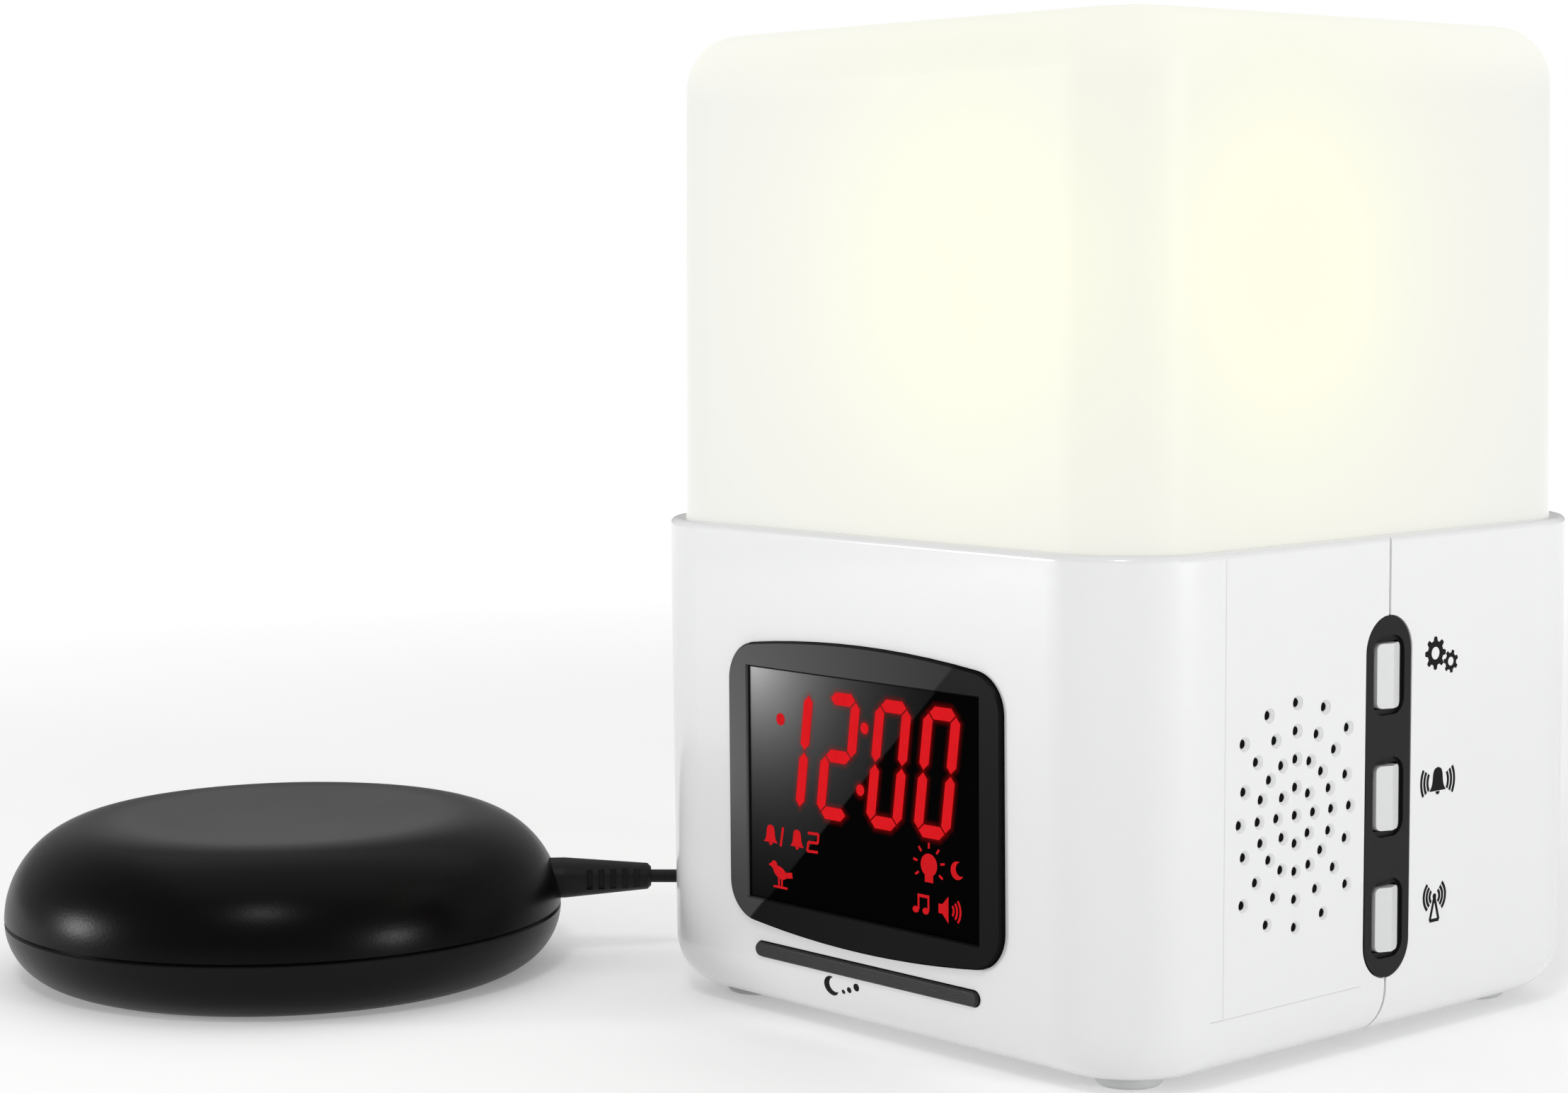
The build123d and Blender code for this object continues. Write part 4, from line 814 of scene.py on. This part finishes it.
@dataclass
class Lamp:
    """Milky cube with its tray, post and lamps."""

    def build(self, frame: Frame) -> None:
        """Gives the lamp its finishes."""
        frame.dress(Diffuser().material(), "diffuser")
        tray = Moulding("tray_white", (0.85, 0.85, 0.84), roughness=0.45)
        frame.dress(tray.material(), "lamp_tray", "lamp_post", "led_strips")
        lit = LitPlastic("lamp_glow", (0.9, 0.85, 0.6), glow=(1.0, 0.9, 0.55), strength=1.5)
        frame.dress(lit.material(), "lamp_leds")


@dataclass
class Display:
    """Dark window with slanted seven-segment digits and small signs."""

    digit_h: float = 19.5
    digit_w: float = 7.6
    stroke: float = 1.9
    gap: float = 0.2
    slant: float = 0.134
    low_z: float = 33.9
    figures: tuple[tuple[float, str], ...] = (
        (-20.56, "bc"),
        (-10.1, "abged"),
        (0.9, "abcdef"),
        (11.15, "abcdef"),
    )
    colon: tuple[tuple[float, float], ...] = ((0.85, 48.6), (-0.15, 39.2))
    colon_r: float = 0.85
    glow_reach: float = 1.1
    glow_t: float = 0.02
    sign_w: float = 0.34
    number_w: float = 0.42
    unlit: Colour = (0.02, 0.0004, 0.0006)
    grey: Colour = (0.017, 0.017, 0.0175)

    def __post_init__(self) -> None:
        """Starts the pieces that take the lit digits and the glow round them."""
        self.digits = Inlay("display_digits", Face.WINDOW)
        self.glow = Halo("digit_glow", Face.WINDOW, self.glow_t)

    def dress(self, frame: Frame) -> None:
        """Gives the display its finishes."""
        # The bezel and module carry a fainter painted glare; the window below takes the full painted glare
        gloss = GlossBlack("gloss_black", glare_peak=(-34.0, 36.0), reach=33.0, glare_gain=0.35, rest=0.03)
        frame.dress(gloss.material(), "display_bezel", "display_module")
        frame.dress(GlossBlack("smoked_window").material(), "display_window")
        bar = Moulding(
            "snooze_grey", self.grey, roughness=0.46, grain=0.35, depth=0.06, mottle=0.3, specular=0.3
        )
        frame.dress(bar.material(), "snooze_bar")

    def _bar(self, start: Sequence[float], end: Sequence[float]) -> np.ndarray:
        """Six-cornered bar from start to end with pointed ends, anticlockwise."""
        a, b = np.array(start, float), np.array(end, float)
        along = (b - a) / np.linalg.norm(b - a)
        side = np.array([-along[1], along[0]]) * self.stroke / 2
        tip = along * self.stroke / 2
        a = a + along * self.gap
        b = b - along * self.gap
        return np.array([a, a + tip - side, b - tip - side, b, b - tip + side, a + tip + side])

    def _digit(self, left: float, segments: str) -> None:
        """Adds a digit's lit segments.

        Args:
            left: the digit's lower left corner across the window.
            segments: the lit ones, a to g in the usual order.
        """
        half = self.stroke / 2
        low, mid, high = half, self.digit_h / 2, self.digit_h - half
        near, far = half, self.digit_w - half
        ends = {
            "a": ((near, high), (far, high)),
            "b": ((far, mid), (far, high)),
            "c": ((far, low), (far, mid)),
            "d": ((near, low), (far, low)),
            "e": ((near, low), (near, mid)),
            "f": ((near, mid), (near, high)),
            "g": ((near, mid), (far, mid)),
        }
        for name in segments:
            self._light(self._lean(self._bar(*ends[name]), left))

    def _light(self, outline: np.ndarray) -> None:
        """Adds a lit outline and the glow round it."""
        self.digits.patch(outline)
        self.glow.surround(outline, self.glow_reach)

    def _lean(self, flat: np.ndarray, left: float) -> np.ndarray:
        """Leans points to the right in step with their height, and moves them to their place."""
        return np.column_stack([left + flat[:, 0] + self.slant * flat[:, 1], self.low_z + flat[:, 1]])

    def _signs(self, inlay: Inlay) -> None:
        """Adds the small lit signs: half of the day, two alarms, sound, light, sleep, music and loudness."""
        signs = Signs(inlay, self.sign_w)
        inlay.patch(loop((-18.0, 48.0), 0.95, 24))
        signs.bell((-20.5, 28.2), 3.2)
        inlay.bar((-18.2, 28.3), (-17.6, 31.3), self.number_w)
        signs.bell((-14.4, 28.3), 3.1)
        two = [(-11.9, 31.2), (-9.5, 31.3), (-9.7, 29.9), (-11.8, 29.8), (-12.1, 28.4), (-9.7, 28.5)]
        for start, end in zip(two, two[1:]):
            inlay.bar(start, end, self.number_w)
        signs.bird((-18.4, 21.9), 4.4)
        signs.bulb((14.5, 29.9), 1.7)
        signs.moon((20.4, 29.9), 1.35)
        signs.notes((11.7, 22.5), 2.9)
        signs.speaker((16.5, 21.9), 3.9)

    def build(self, frame: Frame) -> None:
        """Dresses the display and adds its lit figures and signs."""
        self.dress(frame)
        for left, segments in self.figures:
            self._digit(left, segments)
        for place in self.colon:
            self._light(loop(place, self.colon_r, 24))
        red = LitPlastic("segment_red", self.unlit, glow=(0.73, 0.0115, 0.016))
        self.digits.build(red.material(), "clock", "bezel")
        haze = SoftGlow("segment_glow", (0.5, 0.004, 0.006), density=0.26)
        self.glow.build(haze.material(), "clock", "bezel")
        signs = Inlay("display_signs", Face.WINDOW)
        self._signs(signs)
        faint = LitPlastic("sign_red", self.unlit, glow=(0.62, 0.0115, 0.016))
        signs.build(faint.material(), "clock", "bezel")
        self._sleep_sign()

    def _sleep_sign(self) -> None:
        """Prints a moon and three dots below the snooze bar."""
        print_ink = Inlay("snooze_sign", Face.FRONT)
        Signs(print_ink).moon((-7.6, 8.2), 1.55)
        for x, z, radius in ((-5.0, 7.7, 0.34), (-3.6, 8.2, 0.46), (-1.9, 8.9, 0.6)):
            print_ink.patch(loop((x, z), radius, 20))
        print_ink.build(ink(), "clock", "strip")


def ink() -> bpy.types.Material:
    """Black printing ink, a little uneven."""
    known = bpy.data.materials.get("print_black")
    finish = Moulding(
        "print_black", DEEP_BLACK, roughness=0.5, grain=0.4, depth=0.004, mottle=0.3, specular=0.1
    )
    return known or finish.material()


@dataclass
class SidePanel:
    """Black strip with three white buttons, and signs beside it."""

    sign_w: float = 0.52
    sign_t: float = 0.02
    black: Colour = (0.013, 0.013, 0.0135)
    white: Colour = (0.61, 0.614, 0.618)

    def build(self, frame: Frame) -> None:
        """Gives the panel its finishes and prints a sign beside each button."""
        strip = Moulding(
            "strip_black", self.black, roughness=0.42, grain=0.8, depth=0.012, mottle=0.15, specular=0.12
        )
        frame.dress(strip.material(), "button_strip")
        # Painted shade: the buttons' white is darker than the housing's, for the shade on their facets
        caps = Moulding("button_white_painted_shade", self.white, roughness=0.35, grain=0.8, depth=0.006, mottle=0.03)
        frame.dress(caps.material(), "set_button", "alarm_button", "radio_button")
        print_ink = Inlay("side_signs", Face.RIGHT, self.sign_t)
        signs = Signs(print_ink, self.sign_w)
        signs.gear((11.0, 58.75), 2.5, 8)
        signs.gear((14.75, 57.2), 1.75, 7, 20.0)
        signs.bell((12.0, 37.3), 4.2)
        for middle in (0.0, 180.0):
            signs.waves((12.0, 39.3), (2.5, 3.25, 4.0), middle, 30.0)
        signs.mast((11.6, 18.2), 5.9)
        print_ink.build(ink(), "clock", "strip")


@dataclass
class Shaker:
    """Black pebble of two shells, with its motor inside and a slotted sleeve."""

    def build(self, frame: Frame) -> None:
        """Gives the shaker its finishes."""
        frame.dress(PebbleBlack("shaker_top").material(), "shaker_upper")
        foot = PebbleBlack("shaker_foot", side=(0.003, 0.003, 0.0031), specular=0.12)
        frame.dress(foot.material(), "shaker_lower")
        steel = Metal("dull_steel", (0.55, 0.55, 0.54), roughness=0.3)
        frame.dress(steel.material(), "shaker_screws", "motor", "motor_shaft", "eccentric_weight", "plug_pin")
        cradle = Moulding("cradle_grey", (0.3, 0.3, 0.3), roughness=0.5)
        frame.dress(cradle.material(), "motor_cradle")


@dataclass
class Lead:
    """The shaker's lead: a free stretch beside the clock, a tied coil behind it and a tail to its plug."""

    diameter: float = 2.2
    pitch: float = 2.7
    inner_r: float = 6.8
    half_turns: int = 41
    lane_count: int = 10
    layer_low: float = 2.15
    coil_y: float = 104.0
    jack_x: float = -10.0
    jack_z: float = 14.0
    plug_tip: float = 81.27
    points_per_turn: int = 16
    length: float = 1.93
    sleeve_tip: tuple[float, float] = (-70.74, -38.241)
    sleeve_z: float = 14.0
    sleeve_turn: float = 52.0
    straight: float = 8.0
    lead_in: float = 14.0
    lead_out: float = 7.8
    plug_straight: float = 7.3

    def free_stretch(self) -> np.ndarray:
        """Route from the sleeve's tip, down beside the clock, to the coil."""
        turn = radians(self.sleeve_turn)
        tip = np.array(self.sleeve_tip)
        out = tip + self.straight * np.array([cos(turn), sin(turn)])
        left = self.jack_x - 2.0 * self.outer_r()
        return np.array(
            [
                (tip[0], tip[1], self.sleeve_z),
                (out[0], out[1], self.sleeve_z),
                (-62.0, -17.0, 10.0),
                (-62.6, -2.0, 5.0),
                (-64.6, 15.0, 1.6),
                (-65.6, 34.0, 1.15),
                (-63.0, 53.0, 1.15),
                (-56.5, 73.0, 1.5),
                (left, self.coil_y - self.lead_in, self.layer_low),
            ]
        )

    def outer_r(self) -> float:
        """Radius of the coil's outermost lane."""
        return self.inner_r + self.lane_count * self.pitch / 2

    def coil(self) -> np.ndarray:
        """Points of the coil.

        The turn runs clockwise from the left. The radius steps in and out by half a pitch with
        each half turn, and the height rises by a pitch where the lane turns back. The radius is
        let out so that the smooth line through these corners has the lane's own radius.
        """
        steps = np.arange(0.5 / self.points_per_turn, self.half_turns / 2, 1.0 / self.points_per_turn)
        half = 2.0 * steps
        cycle = np.mod(half - 0.5, 2.0 * self.lane_count)
        lane = np.where(half < 0.5, self.lane_count + 0.5 - half, np.abs(self.lane_count - cycle))
        radius = self.inner_r + lane * self.pitch / 2
        radius = radius / cos(pi / self.points_per_turn)
        climbs = sum(np.clip(half - self.lane_count * turn, 0.0, 1.0) for turn in (1, 2, 3))
        turn = pi - pi * half
        middle = self.jack_x - self.outer_r() + self.pitch / 4
        return np.column_stack(
            [
                middle + radius * np.cos(turn),
                self.coil_y + radius * np.sin(turn),
                self.layer_low + self.pitch * climbs,
            ]
        )

    def tail(self) -> np.ndarray:
        """Route from the coil to the plug."""
        high = self.layer_low + 3.0 * self.pitch
        return np.array(
            [
                (self.jack_x, self.coil_y - self.lead_out, high),
                (self.jack_x, self.plug_tip + self.plug_straight, self.jack_z),
                (self.jack_x, self.plug_tip, self.jack_z),
            ]
        )

    def build(self, frame: Frame) -> None:
        """Makes the lead one smooth line, and dresses what is on it."""
        black = (0.006, 0.006, 0.006)
        finish = Moulding(
            "lead_black", black, roughness=0.45, grain=0.4, depth=0.015, mottle=0.2, specular=0.2
        )
        rubber = finish.material()
        frame.dress(rubber, "strain_relief", "shaker_plug", "coil_tie")
        route = np.vstack([self.free_stretch(), self.coil(), self.tail()]) * MM
        line = bpy.data.curves.new("shaker_lead", "CURVE")
        line.dimensions = "3D"
        line.resolution_u = 4
        line.bevel_depth = self.diameter * MM / 2
        line.bevel_resolution = 3
        line.use_fill_caps = True
        spline = line.splines.new("NURBS")
        spline.points.add(len(route) - 1)
        spline.points.foreach_set("co", np.column_stack([route, np.ones(len(route))]).ravel())
        spline.order_u = 3
        spline.use_endpoint_u = True
        line.materials.append(rubber)
        lead = show("shaker_lead", line)
        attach(lead, "clock")
        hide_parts("cord", "cord_coil", "cord_tail")
        LOG.info("shaker_lead: %d points", len(route))


@dataclass(frozen=True)
class SoftLight:
    """Square soft light: its place and its side in metres, and its power in watts."""

    name: str
    place: Point
    size: float
    power: float

    def build(self, aim: Point) -> None:
        """Adds the light, facing a point."""
        data = bpy.data.lights.new(self.name, "AREA")
        data.size = self.size
        data.energy = self.power
        made = show(self.name, data)
        made.location = self.place
        made.rotation_euler = (Vector(aim) - Vector(self.place)).to_track_quat("-Z", "Y").to_euler()


@dataclass
class Studio:
    """Pale floor, soft light and the camera."""

    eye: Point = (349.596, -378.928, 119.681)
    azimuth: float = 48.541
    pitch: float = 5.269
    roll: float = -0.458
    focal_px: float = 4569.28
    image_w: float = 2216.0
    sensor: float = 36.0
    clip: tuple[float, float] = (0.01, 50.0)
    sky_light: float = 0.42
    floor_glow: float = 0.66
    near_share: float = 0.34
    floor_half: float = 8.0
    far_floor: tuple[float, float] = (180.0, 1100.0)
    floor_white: Colour = (0.86, 0.86, 0.86)
    floor_roughness: float = 0.7
    floor_specular: float = 0.1
    aim: Point = (0.0, 0.0, 0.07)
    lights: tuple[SoftLight, ...] = (
        SoftLight("key", (-0.44, -0.6, 0.12), size=0.12, power=1.65),
        SoftLight("side", (0.88, 0.1, 0.17), size=0.13, power=2.5),
        SoftLight("front", (0.38, -0.56, 0.72), size=0.15, power=1.5),
        SoftLight("ceiling", (-0.2, 0.2, 1.5), size=2.0, power=7.5),
    )

    def camera(self) -> None:
        """Sets the camera from its place, its heading, its tilt down and its roll."""
        a, p, r = radians(self.azimuth), radians(self.pitch), radians(self.roll)
        ahead = Vector((-sin(a) * cos(p), cos(a) * cos(p), -sin(p)))
        level = Vector((cos(a), sin(a), 0.0))
        up = level.cross(ahead)
        right = level * cos(r) + up * sin(r)
        top = up * cos(r) - level * sin(r)
        data = bpy.data.cameras.new("camera")
        data.sensor_width = self.sensor
        data.lens = self.focal_px / self.image_w * self.sensor
        data.clip_start, data.clip_end = self.clip
        made = show("camera", data)
        turn = Matrix((right, top, -ahead)).transposed().to_4x4()
        made.matrix_world = Matrix.Translation(Vector(self.eye) * MM) @ turn
        bpy.context.scene.camera = made

    def floor(self) -> None:
        """Adds a wide pale floor, lit from within, and more so far from the object."""
        corners = np.array([(-1, -1, 0), (1, -1, 0), (1, 1, 0), (-1, 1, 0)]) * self.floor_half
        mesh = bpy.data.meshes.new("floor")
        mesh.from_pydata(corners.tolist(), [], [[0, 1, 2, 3]])
        graph = Graph("pale_floor")
        x, y, _ = graph.axes()
        far = ((x * x + y * y) ** 0.5).step(*self.far_floor)
        graph.set("Base Color", self.floor_white)
        graph.set("Roughness", self.floor_roughness)
        graph.set("Specular IOR Level", self.floor_specular)
        graph.set("Emission Color", graph.mix(far, (self.near_share,) * 3, (1.0, 1.0, 1.0)))
        graph.set("Emission Strength", self.floor_glow)
        mesh.materials.append(graph.material)
        made = show("floor", mesh)

    def sky(self) -> None:
        """Adds a white sky, fainter as a light than as the backdrop."""
        world = bpy.data.worlds.new("studio")
        world.use_nodes = True
        tree = world.node_tree
        lamp = tree.nodes["Background"]
        lamp.inputs["Strength"].default_value = self.sky_light
        backdrop = tree.nodes.new("ShaderNodeBackground")
        for background in (lamp, backdrop):
            background.inputs["Color"].default_value = (1.0, 1.0, 1.0, 1.0)
        seen = tree.nodes.new("ShaderNodeLightPath")
        mix = tree.nodes.new("ShaderNodeMixShader")
        tree.links.new(seen.outputs["Is Camera Ray"], mix.inputs[0])
        tree.links.new(lamp.outputs[0], mix.inputs[1])
        tree.links.new(backdrop.outputs[0], mix.inputs[2])
        tree.links.new(mix.outputs[0], tree.nodes["World Output"].inputs["Surface"])
        bpy.context.scene.world = world

    def build(self) -> None:
        """Sets up the floor, lights, sky and camera."""
        self.camera()
        self.floor()
        for light in self.lights:
            light.build(self.aim)
        self.sky()
        bpy.context.scene.view_settings.view_transform = "Standard"


def main() -> None:
    """Builds the looks in order."""
    logging.basicConfig(level=logging.INFO, format="%(name)s %(message)s")
    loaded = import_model()
    frame = Frame(loaded["nodes"])
    Studio().build()
    Lead().build(frame)
    Housing().build(frame)
    Lamp().build(frame)
    Display().build(frame)
    SidePanel().build(frame)
    Shaker().build(frame)
    bpy.context.view_layer.update()


if __name__ == "__main__":
    main()
